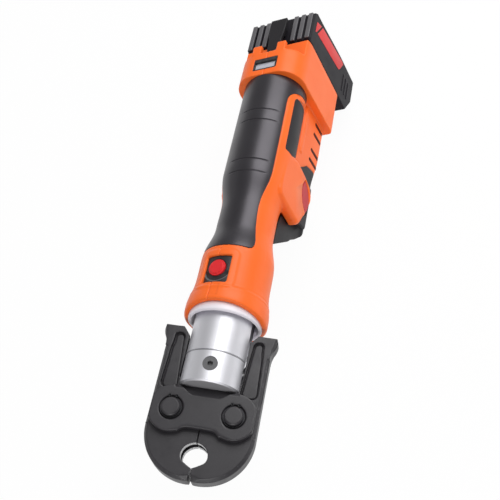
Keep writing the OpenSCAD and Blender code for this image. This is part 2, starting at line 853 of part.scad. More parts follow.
// Side outline of the black grip
module grip_outline() {
    polygon([[-grip_edge, grip_r + over], [-grip_edge, grip_low + grip_corner],
        [-grip_edge - grip_corner * grip_corner_share, grip_low + grip_corner * grip_corner_share],
        [-grip_edge - grip_corner, grip_low], [-grip_wave_back, grip_low], [-grip_front, grip_mid_low],
        [2 * rim_w + panel_slant - grip_tail_back, grip_mid_low],
        [rim_w - grip_tail_back, panel_high + rim_w], [-grip_tail_back, 0],
        [-grip_tail_back - rim_w, grip_tail_low], [-tail_front, grip_tail_low],
        [-tail_front, grip_r + over]]);
}
// Outer layer of the barrel
module barrel_skin() {
    difference() {
        barrel_form(0);
        barrel_form(skin);
    }
}
module grip_form() {
    intersection() {
        barrel_skin();
        side_prism(-grip_r - over, grip_r + over) grip_outline();
    }
}
// Side outline of the bare inset panel
module panel_outline() {
    polygon([[-panel_front, panel_high - panel_r], [-panel_front - panel_r, panel_high],
        [-panel_rear + panel_slant, panel_high], [-panel_rear + panel_r, panel_high - panel_r],
        [-panel_rear - panel_r, panel_low + 2 * panel_r], [-panel_rear, panel_low],
        [-panel_front - panel_slant - panel_r, panel_low],
        [-panel_front - panel_r, panel_low + panel_slant]]);
}
// Side panel, or its recess when grown by a seam
module panel_form(seam) {
    intersection() {
        barrel_skin();
        side_prism(0, grip_r + over) offset(delta = seam) panel_outline();
    }
}
function leaf_pts() = [for (p = leaf_shares)
    [-leaf_front - leaf_len * p[0], leaf_high + (leaf_low - leaf_high) * p[1]]];
// Raised leaf on the side of the belly
module leaf_form() {
    side_prism(belly_half_w - wall, belly_half_w + leaf_proud) polygon(leaf_pts());
}
// Outline of a release button
module almond_outline(grow) {
    arc_r = (almond_half * almond_half + almond_rise * almond_rise) / (2 * almond_rise);
    translate([-almond_back, almond_z]) rotate(-almond_tilt) intersection() {
        translate([0, almond_rise - arc_r]) circle(r = arc_r + grow);
        translate([0, arc_r - almond_rise]) circle(r = arc_r + grow);
    }
}
// Outline of the black belly skin
module belly_grip_outline() {
    polygon(concat([[-belly_grip_front, belly_grip_high]], [for (p = belly_grip_shares)
        [-belly_grip_front - belly_grip_len * p[0],
        belly_grip_high - (belly_depth + over + belly_grip_high) * p[1]]],
        [[-belly_grip_front, -belly_depth - over]]));
}
module belly_grip_form() {
    difference() {
        intersection() {
            belly_form(0);
            side_prism(-belly_half_w - over, belly_half_w + over) belly_grip_outline();
        }
        belly_form(skin);
        both_sides() leaf_form();
    }
}
// Places of the screws, as back distance and height
function belly_screws() = [for (p = belly_screw_shares)
    [belly_grip_rear + belly_plain * p[0], -belly_depth * p[1]]];
function tail_screws() = [for (p = tail_screw_shares) [tail_front + tail_len * p[0], -belly_depth * p[1]]];
// Screw boss from the parting plane to the side wall
module boss(p, reach) {
    translate([-p[0], 0, p[1]]) rotate([-90, 0, 0]) cylinder(h = reach, r = boss_r);
}
// Screw from the left side, with its head grown outwards for the cut
module screw(p, side, grow) {
    translate([-p[0], -side + screw_sink, p[1]]) rotate([-90, 0, 0]) {
        translate([0, 0, -grow]) cylinder(h = screw_head_t + grow, r = screw_head_r);
        cylinder(h = side - screw_sink + screw_reach, r = screw_shank_r);
    }
}
module screws(grow) {
    for (p = belly_screws()) screw(p, belly_half_w, grow);
    for (p = tail_screws()) screw(p, tail_block_half_w, grow);
}
module housing() {
    difference() {
        union() {
            difference() {
                union() {
                    handle_form();
                    leaf_form();
                    side_prism(belly_half_w - wall, belly_half_w + bar_proud)
                        translate([-bar_rear, bar_z]) square([bar_rear - bar_front, bar_h]);
                }
                handle_hollow();
            }
            for (p = belly_screws()) boss(p, belly_half_w - wall / 2);
            for (p = tail_screws()) boss(p, tail_block_half_w - wall / 2);
        }
        translate([-tail_rear - over, -collar_r - tail_block_half_w, -belly_depth - over])
            cube([tail_rear, collar_r + tail_block_half_w, 3 * belly_depth]);
        grip_form();
        panel_form(panel_seam);
        belly_grip_form();
        rail_slot();
        side_prism(0, belly_half_w + 2 * leaf_proud) almond_outline(gap);
        for (v = vent_shares) translate([-belly_grip_rear - belly_plain * v - vent_w, 0, vent_low])
            cube([vent_w, belly_half_w + over, vent_high - vent_low]);
        box_x(pad_front, pad_rear, pad_half_w, pad_low, barrel_r + over);
        box_x(window_front, window_rear, window_half_w, tail_top - 2 * wall, tail_top + over);
    }
}
module housing_right() {
    color("#f0703a") rolled() difference() {
        housing();
        screws(0);
    }
}
module housing_left() {
    color("#f0703a") rolled() difference() {
        mirror([0, 1, 0]) housing();
        screws(screw_sink + over);
    }
}
// Shallow groove across the grip
module grip_groove(back) {
    difference() {
        box_x(back, back + grip_groove_w, grip_r + over, grip_groove_low, grip_r + over);
        bar_x(back - over, back + grip_groove_w + over, grip_r - grip_groove_d);
    }
}
// One half of the grip with its grooves
module grip_half() {
    difference() {
        grip_form();
        translate([-tail_front - over, -2 * grip_r, -grip_r])
            cube([tail_front, 2 * grip_r + grip_seam, 3 * grip_r]);
        for (p = grip_groove_shares) grip_groove(grip_front + (tail_front - grip_front) * p);
    }
}
module grip_right() {
    color("#2e2e30") rolled() grip_half();
}
module grip_left() {
    color("#2e2e30") rolled() mirror([0, 1, 0]) grip_half();
}
module side_panel_right() {
    color("#2c2b2d") rolled() panel_form(0);
}
module side_panel_left() {
    color("#2c2b2d") rolled() mirror([0, 1, 0]) panel_form(0);
}
module belly_grip() {
    color("#2a2a2c") rolled() belly_grip_form();
}
module housing_screws() {
    color("#55565a") rolled() difference() {
        screws(0);
        for (p = belly_screws()) screw_drive(p, belly_half_w);
        for (p = tail_screws()) screw_drive(p, tail_block_half_w);
    }
}
// Drive socket of a screw
module screw_drive(p, side) {
    translate([-p[0], -side, p[1]]) rotate([-90, 0, 0])
        cylinder(h = screw_sink + screw_head_t / 2, r = screw_drive_r, $fn = 6);
}

module button_bezel() {
    color("#262628") rolled() difference() {
        intersection() {
            box_x(pad_front, pad_rear, pad_half_w, pad_low, barrel_r);
            barrel_form(pad_sink);
        }
        translate([-button_back, 0, 0]) cylinder(h = barrel_r + over, r = button_r + gap);
    }
}
module front_button() {
    button_t = button_high - button_low;
    color("#d93036") rolled() translate([-button_back, 0, button_low]) {
        cylinder(h = button_t - collar_chamfer, r = button_r);
        cylinder(h = button_t, r = button_r - collar_chamfer);
    }
}
// Side outline of the trigger nose
module trigger_outline() {
    polygon(concat([for (p = trigger_shares) [-trigger_front - (trigger_rear - trigger_front) * p[0],
        trigger_top + (trigger_low - trigger_top) * p[1]]], [[-trigger_rear, -waist_r - wall - gap],
        [-belly_front + trigger_travel + gap, -waist_r - wall - gap],
        [-belly_front + trigger_travel + gap, trigger_top], [-trigger_front - gap, trigger_top]]));
}
// Nose of the trigger, as a prism with a rounded keel
module trigger_form(half_w) {
    intersection() {
        side_prism(-half_w, half_w) trigger_outline();
        section_prism(trigger_front - over, trigger_rear + over)
            rounded_section(half_w, trigger_low, 0, belly_corner_r, over);
    }
}
module trigger() {
    color("#242426") rolled() difference() {
        union() {
            difference() {
                trigger_form(trigger_half_w);
                translate([-trigger_wall, 0, trigger_wall]) trigger_form(trigger_half_w - trigger_wall);
            }
            translate([0, 0, trigger_stem_z])
                bar_x(trigger_front + trigger_stem_inset, trigger_stem_rear, trigger_stem_r);
        }
        barrel_form(-gap);
        translate([trigger_travel, 0, 0]) barrel_form(-gap);
    }
}
// Release button on the right side
module release_form() {
    face = belly_half_w + leaf_proud - almond_sink;
    side_prism(face - almond_t, face) almond_outline(0);
}
module release_button_right() {
    color("#c23a40") rolled() release_form();
}
module release_button_left() {
    color("#c23a40") rolled() mirror([0, 1, 0]) release_form();
}
module display_window() {
    color("#c9ccd2") rolled() box_x(window_front, window_rear, window_half_w,
        tail_top - window_sink - window_t, tail_top - window_sink);
}
module display_board() {
    color("#1f5a3a") rolled() box_x(window_front, window_rear, window_half_w,
        tail_top - window_sink - window_t - board_t, tail_top - window_sink - window_t);
}
module hydraulic_cylinder() {
    color("#9a9ca1") rolled() difference() {
        union() {
            bar_x(cylinder_front, cylinder_rear, pump_r);
            bar_x(flange_front, flange_front + flange_t, bearing_r);
        }
        bar_x(cylinder_front - over, gland_rear + over, rod_r + run);
        bar_x(gland_rear, cylinder_bore_rear, piston_r);
    }
}
module pump_block() {
    color("#8a8c91") rolled() difference() {
        union() {
            bar_x(cylinder_rear, pump_rear, pump_r);
            box_x(pump_rear - over, eccentric_back + 2 * plunger_r, 2 * plunger_r,
                eccentric_r + plunger_r + over, arm_high);
        }
        bar_x(pump_rear - 2 * shaft_r, pump_rear + over, shaft_r + run);
        translate([-eccentric_back, 0, 0]) cylinder(h = pump_r + over, r = plunger_r + run);
    }
}
module pump_plunger() {
    plunger_low = eccentric_r + eccentric_off + gap;
    color("#b9bbc0") rolled() translate([-eccentric_back, 0, plunger_low])
        cylinder(h = arm_high - plunger_low, r = plunger_r);
}
module eccentric_shaft() {
    color("#a9abb0") rolled() {
        bar_x(pump_rear - shaft_r, gearbox_front + 2 * shaft_r, shaft_r);
        translate([0, 0, eccentric_off])
            bar_x(eccentric_back - eccentric_w / 2, eccentric_back + eccentric_w / 2, eccentric_r);
    }
}
module gearbox() {
    color("#6f7176") rolled() difference() {
        union() {
            bar_x(gearbox_front, gearbox_rear, gearbox_r);
            bar_x(gearbox_rear - 2 * wall, gearbox_rear, grip_r - wall);
        }
        bar_x(gearbox_front - over, gearbox_front + 3 * shaft_r, shaft_r + run);
    }
}
module motor() {
    color("#4c4d52") rolled() lathe([[0, gearbox_rear], [motor_r - wall, gearbox_rear],
        [motor_r - wall, gearbox_rear + can_lead], [motor_r, gearbox_rear + can_lead],
        [motor_r, motor_rear - wall], [motor_r - wall, motor_rear], [motor_shaft_r, motor_rear],
        [motor_shaft_r, motor_rear + wall], [0, motor_rear + wall]]);
}
module oil_bladder() {
    color("#3d3c3f") rolled() translate([0, 0, bladder_z]) {
        bar_x(bladder_front, bladder_front + bladder_len, bladder_r - bladder_band_w / 4);
        for (b = [bladder_front, bladder_front + bladder_len - bladder_band_w])
            bar_x(b, b + bladder_band_w, bladder_r);
    }
}
module control_board() {
    color("#1d6b43") rolled() box_x(control_back, control_back + control_t, control_half_w, control_low,
        control_high);
}
module trigger_switch() {
    color("#1e1e20") rolled() box_x(switch_front, switch_front + switch_len, switch_half_w, switch_low,
        switch_high);
}
module terminal_block() {
    color("#2a2a2c") rolled() box_x(terminal_rear - terminal_t, terminal_rear, terminal_half_w, terminal_low,
        terminal_high);
}

// Outline of the battery seen along its length
module battery_outline() {
    polygon([[-battery_front, -battery_half_w], [-battery_front, battery_half_w],
        [-battery_rear + battery_corner, battery_half_w], [-battery_rear, battery_half_w - battery_corner],
        [-battery_rear, battery_corner - battery_half_w], [-battery_rear + battery_corner, -battery_half_w]]);
}
// Outline of the battery seen from the side, with a bevel at the top and a toe cut off below the tail
module battery_side_outline() {
    polygon([[-battery_front, battery_top], [-battery_front, battery_low + battery_toe_rise],
        [-battery_front - battery_toe_len, battery_low], [-battery_rear, battery_low],
        [-battery_rear, battery_top - battery_bevel], [-battery_rear + battery_bevel, battery_top]]);
}
// Battery block drawn in by a wall
module battery_block(inset) {
    intersection() {
        translate([0, 0, battery_low]) linear_extrude(battery_len) offset(delta = -inset) battery_outline();
        side_prism(-battery_half_w, battery_half_w) offset(delta = -inset) battery_side_outline();
    }
}
// Ribs on the top end of the battery, clear of the latch
module battery_ribs() {
    for (i = [0 : rib_count - 1]) {
        y = (i - (rib_count - 1) / 2) * rib_pitch;
        if (abs(y) > rib_clear)
            translate([-battery_front - battery_wall - rib_len, y - rib_w / 2, battery_top - over])
                cube([rib_len, rib_w, over + rib_proud]);
    }
}
module battery_case() {
    color("#2d2c30") rolled() difference() {
        union() {
            battery_block(0);
            battery_ribs();
            box_x(tail_rear - rail_wall - over, battery_front + over, rail_neck, rail_low, rail_high);
            box_x(rail_face, rail_face + rail_head_t, rail_head, rail_low, rail_high);
        }
        battery_block(battery_wall);
        box_x(latch_stem_front - gap, latch_stem_rear + gap, latch_stem_half_w + gap, latch_stem_low,
            battery_top + over);
        battery_contact_forms();
        both_sides() stripe_form();
    }
}
module battery_cells() {
    color("#3f6fa8") rolled() for (k = [0, 1], i = [0 : cell_count - 1])
        translate([-battery_front - battery_wall - cell_lead - cell_r - k * cell_row, -cell_len / 2,
            cell_low + cell_r + i * cell_pitch]) rotate([-90, 0, 0]) cylinder(h = cell_len, r = cell_r);
}
// Contact strips in the front face of the battery rail
module battery_contact_forms() {
    for (i = [0 : contact_count - 1])
        translate([-rail_face - contact_t, (i - (contact_count - 1) / 2) * contact_pitch - contact_w / 2,
            rail_low + rail_head_t])
            cube([contact_t, contact_w, rail_high - rail_low - 2 * rail_head_t]);
}
module battery_contacts() {
    color("#c8a24a") rolled() battery_contact_forms();
}
// Plain stripe on the right side of the battery
module stripe_form() {
    translate([-stripe_back - stripe_w, battery_half_w - stripe_t, stripe_top - stripe_h])
        cube([stripe_w, stripe_t, stripe_h]);
}
module battery_stripes() {
    color("#d8454a") rolled() both_sides() stripe_form();
}
module battery_latch() {
    color("#242427") rolled() {
        box_x(latch_front, latch_rear, latch_half_w, latch_low, latch_low + latch_t);
        box_x(latch_stem_front, latch_stem_rear, latch_stem_half_w, latch_stem_low, latch_low + over);
    }
}

jaw_right();
jaw_left();
jaw_plate_top();
jaw_plate_bottom();
jaw_pivot_pins();
jaw_retaining_rings();
head_yoke();
jaw_lock_pin();
roller_carriage();
roller_axles();
roller_right();
roller_left();
ram_rod();
piston_seal();
swivel_ring();
swivel_bearing();
housing_right();
housing_left();
grip_right();
grip_left();
side_panel_right();
side_panel_left();
belly_grip();
housing_screws();
button_bezel();
front_button();
trigger();
release_button_right();
release_button_left();
display_window();
display_board();
hydraulic_cylinder();
pump_block();
pump_plunger();
eccentric_shaft();
gearbox();
motor();
oil_bladder();
control_board();
trigger_switch();
terminal_block();
battery_case();
battery_cells();
battery_contacts();
battery_stripes();
battery_latch();
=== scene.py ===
"""Looks of a battery hydraulic press tool: skins, finishes, light and camera."""

import json
import math

import bmesh
import bpy
import numpy as np
from mathutils import Matrix, Vector
from mathutils.kdtree import KDTree


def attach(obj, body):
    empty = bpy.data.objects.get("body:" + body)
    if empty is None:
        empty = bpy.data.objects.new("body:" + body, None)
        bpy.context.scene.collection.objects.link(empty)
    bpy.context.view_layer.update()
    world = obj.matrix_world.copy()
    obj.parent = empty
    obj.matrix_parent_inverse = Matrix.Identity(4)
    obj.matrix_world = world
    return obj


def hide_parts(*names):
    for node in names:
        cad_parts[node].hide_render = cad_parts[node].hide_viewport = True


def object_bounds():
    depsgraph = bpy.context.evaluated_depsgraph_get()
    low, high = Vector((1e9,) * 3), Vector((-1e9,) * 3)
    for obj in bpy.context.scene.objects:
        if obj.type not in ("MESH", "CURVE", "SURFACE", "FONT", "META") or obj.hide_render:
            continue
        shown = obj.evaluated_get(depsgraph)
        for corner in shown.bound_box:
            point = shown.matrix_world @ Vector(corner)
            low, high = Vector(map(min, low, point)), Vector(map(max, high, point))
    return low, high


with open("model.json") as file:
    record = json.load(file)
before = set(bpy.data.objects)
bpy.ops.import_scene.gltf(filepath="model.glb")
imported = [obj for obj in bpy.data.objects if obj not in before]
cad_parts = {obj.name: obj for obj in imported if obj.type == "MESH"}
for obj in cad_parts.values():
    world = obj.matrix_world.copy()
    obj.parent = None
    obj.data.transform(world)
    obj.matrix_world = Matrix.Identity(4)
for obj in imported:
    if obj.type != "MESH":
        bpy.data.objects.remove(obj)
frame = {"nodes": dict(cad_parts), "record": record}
cad_low, cad_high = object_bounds()
NODES = frame["nodes"]
BODY_OF = {n: b for b, names in frame["record"]["behaviour"]["bodies"].items() for n in names}
SLOT_OF = {part["node"]: part["material_slot"] for part in frame["record"]["subparts"]}
scene = bpy.context.scene
scene.view_settings.view_transform = "Standard"

MM = 0.001
ROLL = math.radians(22)

# Places on the tool in millimetres: back from the middle of the jaw opening, to the side, and up
PIVOT_BACK, PIVOT_SIDE = 33.8, 24.4
PLATE_LOW = 8.3
BUTTON_BACK = 151.6
GRIP_FRONT, GRIP_REAR = 173.4, 370.9
FACE_FROM, POCKET_FLOOR = 27.4, 25.1
BATTERY_FRONT = 424.3
BOTH_SIDES = (-1, 1)


# Small helpers for node trees

def put(tree, kind, sockets=None, **settings):
    """A node with its settings, and with a value or a link for each socket that is named."""
    node = tree.nodes.new(kind)
    for key, value in settings.items():
        setattr(node, key, value)
    for key, value in (sockets or {}).items():
        if isinstance(value, bpy.types.NodeSocket):
            tree.links.new(value, node.inputs[key])
        else:
            node.inputs[key].default_value = value
    return node


def new_group(name, inputs, outputs):
    group = bpy.data.node_groups.new(name, "ShaderNodeTree")
    for label, socket_type, default in inputs:
        group.interface.new_socket(name=label, in_out="INPUT", socket_type=socket_type).default_value = default
    for label, socket_type in outputs:
        group.interface.new_socket(name=label, in_out="OUTPUT", socket_type=socket_type)
    return group, group.nodes.new("NodeGroupInput").outputs, group.nodes.new("NodeGroupOutput")


def math_node(tree, operation, a, b):
    return put(tree, "ShaderNodeMath", {0: a, 1: b}, operation=operation).outputs[0]


def times(tree, a, b):
    return math_node(tree, "MULTIPLY", a, b)


def blend_colour(tree, share, a, b):
    return put(tree, "ShaderNodeMix", {0: share, 6: a, 7: b}, data_type="RGBA").outputs[2]


def remap(tree, value, low, high, out_low, out_high):
    return put(tree, "ShaderNodeMapRange", {0: value, 1: low, 2: high, 3: out_low, 4: out_high}).outputs[0]


def object_place(tree):
    return put(tree, "ShaderNodeTexCoord").outputs["Object"]


def noise(tree, place, scale, detail, rough=0.5):
    return put(tree, "ShaderNodeTexNoise",
               {"Vector": place, "Scale": scale, "Detail": detail, "Roughness": rough}).outputs[0]


# Shared surface effects

FLOAT, COLOUR, VECTOR = "NodeSocketFloat", "NodeSocketColor", "NodeSocketVector"


def make_skin_grain():
    """Fine moulded or blasted grain with slow clouds of colour and gloss."""
    group, given, result = new_group("skin_grain", [
        ("Colour", COLOUR, (0.5, 0.5, 0.5, 1)), ("Cloud colour", COLOUR, (0.5, 0.5, 0.5, 1)),
        ("Cloud share", FLOAT, 0.5), ("Cloud scale", FLOAT, 40), ("Grain scale", FLOAT, 2200),
        ("Roughness", FLOAT, 0.4), ("Roughness spread", FLOAT, 0.1)],
        [("Colour", COLOUR), ("Roughness", FLOAT), ("Height", FLOAT)])
    place = object_place(group)
    cloud = noise(group, place, given["Cloud scale"], 4, 0.6)
    grain = noise(group, place, given["Grain scale"], 2, 0.55)
    soft = remap(group, cloud, 0.3, 0.7, 0, 1)
    share = times(group, soft, given["Cloud share"])
    group.links.new(blend_colour(group, share, given["Colour"], given["Cloud colour"]), result.inputs["Colour"])
    both = math_node(group, "ADD", math_node(group, "SUBTRACT", soft, 0.5),
                     times(group, math_node(group, "SUBTRACT", grain, 0.5), 0.8))
    rough = math_node(group, "ADD", given["Roughness"], times(group, both, given["Roughness spread"]))
    group.links.new(rough, result.inputs["Roughness"])
    group.links.new(grain, result.inputs["Height"])
    return group


def make_edge_wear_highlight_and_crease_shade():
    """Paler edges, partly rubbed wear and partly painted highlight, and darker creases, which are painted shade."""
    group, given, result = new_group("edge_wear_highlight_and_crease_shade", [
        ("Colour", COLOUR, (0.5, 0.5, 0.5, 1)), ("Rub and highlight colour", COLOUR, (0.8, 0.8, 0.8, 1)),
        ("Rub and highlight share", FLOAT, 0.4), ("Start", FLOAT, 0.53), ("End", FLOAT, 0.6), ("Crease shade share", FLOAT, 0.3),
        ("Crease shade colour", COLOUR, (0.01, 0.009, 0.009, 1)), ("Roughness", FLOAT, 0.4)],
        [("Colour", COLOUR), ("Roughness", FLOAT)])
    point = put(group, "ShaderNodeNewGeometry").outputs["Pointiness"]
    patch = noise(group, object_place(group), 190, 5, 0.65)
    # Paler edges: partly rubbed wear, partly painted highlight along the edges
    edge = put(group, "ShaderNodeMapRange", {0: point, 1: given["Start"], 2: given["End"]}).outputs[0]
    mask = times(group, edge, remap(group, patch, 0.35, 0.62, 0.25, 1))
    rubbed_and_lit = blend_colour(group, times(group, mask, given["Rub and highlight share"]), given["Colour"], given["Rub and highlight colour"])
    # Painted shade: creases are darkened towards the crease colour
    crease = remap(group, point, 0.4, 0.49, 1, 0)
    dark = blend_colour(group, times(group, crease, given["Crease shade share"]), rubbed_and_lit, given["Crease shade colour"])
    group.links.new(dark, result.inputs["Colour"])
    rough = math_node(group, "SUBTRACT", given["Roughness"], times(group, mask, 0.08))
    group.links.new(rough, result.inputs["Roughness"])
    return group


def make_tool_lines():
    """Fine lines across an axis, as a lathe or a grinding wheel leaves them."""
    group, given, result = new_group("tool_lines", [
        ("Axis", VECTOR, (1, 0, 0)), ("Line scale", FLOAT, 5200), ("Colour", COLOUR, (0.7, 0.7, 0.7, 1)),
        ("Line colour", COLOUR, (0.6, 0.6, 0.6, 1)), ("Roughness", FLOAT, 0.3), ("Roughness spread", FLOAT, 0.1)],
        [("Colour", COLOUR), ("Roughness", FLOAT), ("Height", FLOAT)])
    place = object_place(group)
    along = put(group, "ShaderNodeVectorMath", {0: place, 1: given["Axis"]}, operation="DOT_PRODUCT").outputs["Value"]
    drift = noise(group, place, 60, 2)
    shifted = math_node(group, "ADD", along, times(group, drift, 0.00025))
    line = put(group, "ShaderNodeTexNoise", {"W": shifted, "Scale": given["Line scale"], "Detail": 3,
                                             "Roughness": 0.7}, noise_dimensions="1D").outputs[0]
    cloud = noise(group, place, 55, 4)
    share = remap(group, math_node(group, "ADD", line, times(group, cloud, 0.6)), 0.55, 1.05, 0, 1)
    group.links.new(blend_colour(group, share, given["Colour"], given["Line colour"]), result.inputs["Colour"])
    spread = times(group, math_node(group, "SUBTRACT", share, 0.5), given["Roughness spread"])
    group.links.new(math_node(group, "ADD", given["Roughness"], spread), result.inputs["Roughness"])
    group.links.new(line, result.inputs["Height"])
    return group


SKIN_GRAIN = make_skin_grain()
EDGE_WEAR_HIGHLIGHT_AND_CREASE_SHADE = make_edge_wear_highlight_and_crease_shade()
TOOL_LINES = make_tool_lines()


def new_material(name):
    material = bpy.data.materials.new(name)
    material.use_nodes = True
    return material, material.node_tree, material.node_tree.nodes["Principled BSDF"].inputs


def rgba(colour):
    return (*colour, 1)


def show(tree, shader, source):
    """Takes colour and roughness from a node group."""
    tree.links.new(source.outputs["Colour"], shader["Base Color"])
    tree.links.new(source.outputs["Roughness"], shader["Roughness"])


def dent(tree, shader, source, strength, distance):
    """Fine dents from the height of a node group."""
    bump = put(tree, "ShaderNodeBump", {"Strength": strength, "Distance": distance, "Height": source.outputs["Height"]})
    tree.links.new(bump.outputs[0], shader["Normal"])


def grained(name, colour, cloud, rough, spread=0.1, cloud_share=0.5, cloud_scale=40, grain=2200, bump=0.35, rub_and_highlight=None,
            rub_and_highlight_share=0.4, start=0.53, end=0.6, crease=0.25, crease_shade_colour=(0.01, 0.009, 0.009), **values):
    """A moulded, painted or blasted finish, with paler edges that are partly wear and partly painted highlight, and
    creases darkened as painted shade.
    """
    material, tree, shader = new_material(name)
    skin = put(tree, "ShaderNodeGroup", {
        "Colour": rgba(colour), "Cloud colour": rgba(cloud), "Cloud share": cloud_share, "Cloud scale": cloud_scale,
        "Grain scale": grain, "Roughness": rough, "Roughness spread": spread}, node_tree=SKIN_GRAIN)
    seen = skin
    # The rub colour is partly edge wear and partly painted highlight; crease and the crease colour darken creases as
    # painted shade
    if rub_and_highlight:
        seen = put(tree, "ShaderNodeGroup", {
            "Colour": skin.outputs["Colour"], "Roughness": skin.outputs["Roughness"], "Rub and highlight colour": rgba(rub_and_highlight),
            "Rub and highlight share": rub_and_highlight_share, "Start": start, "End": end, "Crease shade share": crease,
            "Crease shade colour": rgba(crease_shade_colour)}, node_tree=EDGE_WEAR_HIGHLIGHT_AND_CREASE_SHADE)
    show(tree, shader, seen)
    dent(tree, shader, skin, bump, 0.04 * MM)
    for key, value in values.items():
        shader[key.replace("_", " ")].default_value = value
    return material


def turned(name, colour, line, rough, axis=(1, 0, 0)):
    """Bare or plated metal with tool lines across an axis."""
    material, tree, shader = new_material(name)
    lines = put(tree, "ShaderNodeGroup", {
        "Axis": axis, "Line scale": 5200, "Colour": rgba(colour), "Line colour": rgba(line), "Roughness": rough,
        "Roughness spread": 0.1}, node_tree=TOOL_LINES)
    show(tree, shader, lines)
    dent(tree, shader, lines, 0.2, 0.03 * MM)
    shader["Metallic"].default_value = 1
    return material


# Each rub colour below is partly edge wear and partly painted highlight; each crease setting darkens creases as painted
# shade, and the orange's deep red crease colour is painted shade
ORANGE = grained("orange_housing_nylon", (0.97, 0.162, 0.022), (0.91, 0.138, 0.016), 0.40, spread=0.08,
                 cloud_share=0.6, cloud_scale=26, grain=1900, rub_and_highlight=(1.0, 0.30, 0.08), start=0.52, end=0.58,
                 crease=0.6, crease_shade_colour=(0.42, 0.035, 0.002), Specular_IOR_Level=0.28)
GRIP = grained("soft_black_grip", (0.0150, 0.0140, 0.0164), (0.020, 0.0188, 0.0218), 0.35, spread=0.08, grain=2600,
               bump=0.3, rub_and_highlight=(0.07, 0.07, 0.075), rub_and_highlight_share=0.35, crease=0.9, Specular_IOR_Level=0.6,
               Specular_Tint=(0.97, 0.92, 1, 1))
PANEL = grained("fine_black_nylon", (0.0150, 0.0138, 0.0160), (0.020, 0.0186, 0.0212), 0.48, grain=2400,
                rub_and_highlight=(0.09, 0.09, 0.095), rub_and_highlight_share=0.45, crease=0.6, Specular_IOR_Level=0.24)
PAD = grained("button_pad_nylon", (0.0150, 0.0138, 0.0160), (0.020, 0.0186, 0.0212), 0.42, grain=2400)
LOCK = grained("lock_pin_grey", (0.085, 0.085, 0.09), (0.11, 0.11, 0.115), 0.4, grain=1500)
JAW = grained("jaw_black_phosphate", (0.0225, 0.0207, 0.0243), (0.032, 0.0298, 0.034), 0.42, spread=0.16,
              cloud_share=0.8, cloud_scale=90, grain=1500, bump=0.4, rub_and_highlight=(0.16, 0.155, 0.165), rub_and_highlight_share=0.25,
              crease=0.92)
YOKE = turned("yoke_satin_nickel", (0.75, 0.75, 0.785), (0.67, 0.67, 0.705), 0.52)
RING = grained("white_swivel_nylon", (0.83, 0.79, 0.85), (0.88, 0.85, 0.90), 0.38, grain=1800, bump=0.15,
               rub_and_highlight=(0.9, 0.9, 0.92), rub_and_highlight_share=0.2)
STEEL = turned("ground_steel", (0.56, 0.56, 0.58), (0.46, 0.46, 0.48), 0.3)
PIN = turned("dark_pin_steel", (0.10, 0.10, 0.105), (0.15, 0.15, 0.155), 0.36, axis=(0, 0, 1))
SPRING = turned("dark_spring_steel", (0.03, 0.03, 0.032), (0.05, 0.05, 0.053), 0.38, axis=(0, 0, 1))
RED = grained("red_button_nylon", (0.76, 0.022, 0.028), (0.68, 0.017, 0.022), 0.38, grain=1700, bump=0.2,
              rub_and_highlight=(0.9, 0.14, 0.13), rub_and_highlight_share=0.3, Specular_IOR_Level=0.35)
ALMOND = grained("almond_button_nylon", (0.52, 0.022, 0.030), (0.46, 0.018, 0.024), 0.42, grain=1700, bump=0.25,
                 rub_and_highlight=(0.8, 0.14, 0.13), rub_and_highlight_share=0.3, Specular_IOR_Level=0.3)
BATTERY = grained("battery_black_case", (0.0115, 0.0100, 0.0135), (0.017, 0.0155, 0.020), 0.5, grain=2000, bump=0.4,
                  rub_and_highlight=(0.11, 0.11, 0.12), rub_and_highlight_share=0.5, crease=0.7, Specular_IOR_Level=0.14)
RIB = grained("rib_grey_nylon", (0.095, 0.091, 0.098), (0.14, 0.135, 0.145), 0.38, grain=1900,
              rub_and_highlight=(0.3, 0.3, 0.31), crease=0.6)
STRIPE = grained("red_stripe", (0.70, 0.055, 0.055), (0.64, 0.045, 0.046), 0.45, grain=1500, bump=0.1,
                 Specular_IOR_Level=0.15)
# Painted shade: dark red-brown for the blocks set in the vent slots, standing in for the shadow inside them
VENT_SHADE = grained("vent_painted_shade", (0.075, 0.012, 0.006), (0.05, 0.010, 0.006), 0.6, grain=1200, bump=0.2,
               Specular_IOR_Level=0.15)
SEAL = grained("seal_rubber", (0.02, 0.02, 0.02), (0.03, 0.03, 0.03), 0.6)
BOARD = grained("green_board", (0.02, 0.13, 0.06), (0.03, 0.17, 0.08), 0.4, cloud_scale=120)
ALLOY = grained("cast_alloy", (0.42, 0.42, 0.44), (0.5, 0.5, 0.52), 0.45, grain=900, Metallic=1.0)
CAN = grained("motor_can_black", (0.05, 0.05, 0.055), (0.07, 0.07, 0.075), 0.4, Metallic=0.4)
SLEEVE = grained("cell_sleeve_blue", (0.05, 0.16, 0.38), (0.06, 0.19, 0.43), 0.3)
BRASS = turned("contact_brass", (0.62, 0.42, 0.12), (0.55, 0.36, 0.1), 0.3, axis=(0, 0, 1))


def band(tree, low, high):
    """0 below one X of the object and 1 above another."""
    ahead = put(tree, "ShaderNodeSeparateXYZ", {0: object_place(tree)}).outputs["X"]
    return remap(tree, ahead, low, high, 0, 1)


def flat_reach(tree, place):
    """A place without its height, and its distance from the origin."""
    flat = put(tree, "ShaderNodeVectorMath", {0: place, 1: (1, 1, 0)}, operation="MULTIPLY").outputs[0]
    return flat, put(tree, "ShaderNodeVectorMath", {0: flat}, operation="LENGTH").outputs["Value"]


def tint(material, share, colour):
    """Blends a colour over what the material shows so far."""
    tree = material.node_tree
    shown = tree.nodes["Principled BSDF"].inputs["Base Color"]
    tree.links.new(blend_colour(tree, share, shown.links[0].from_socket, rgba(colour)), shown)


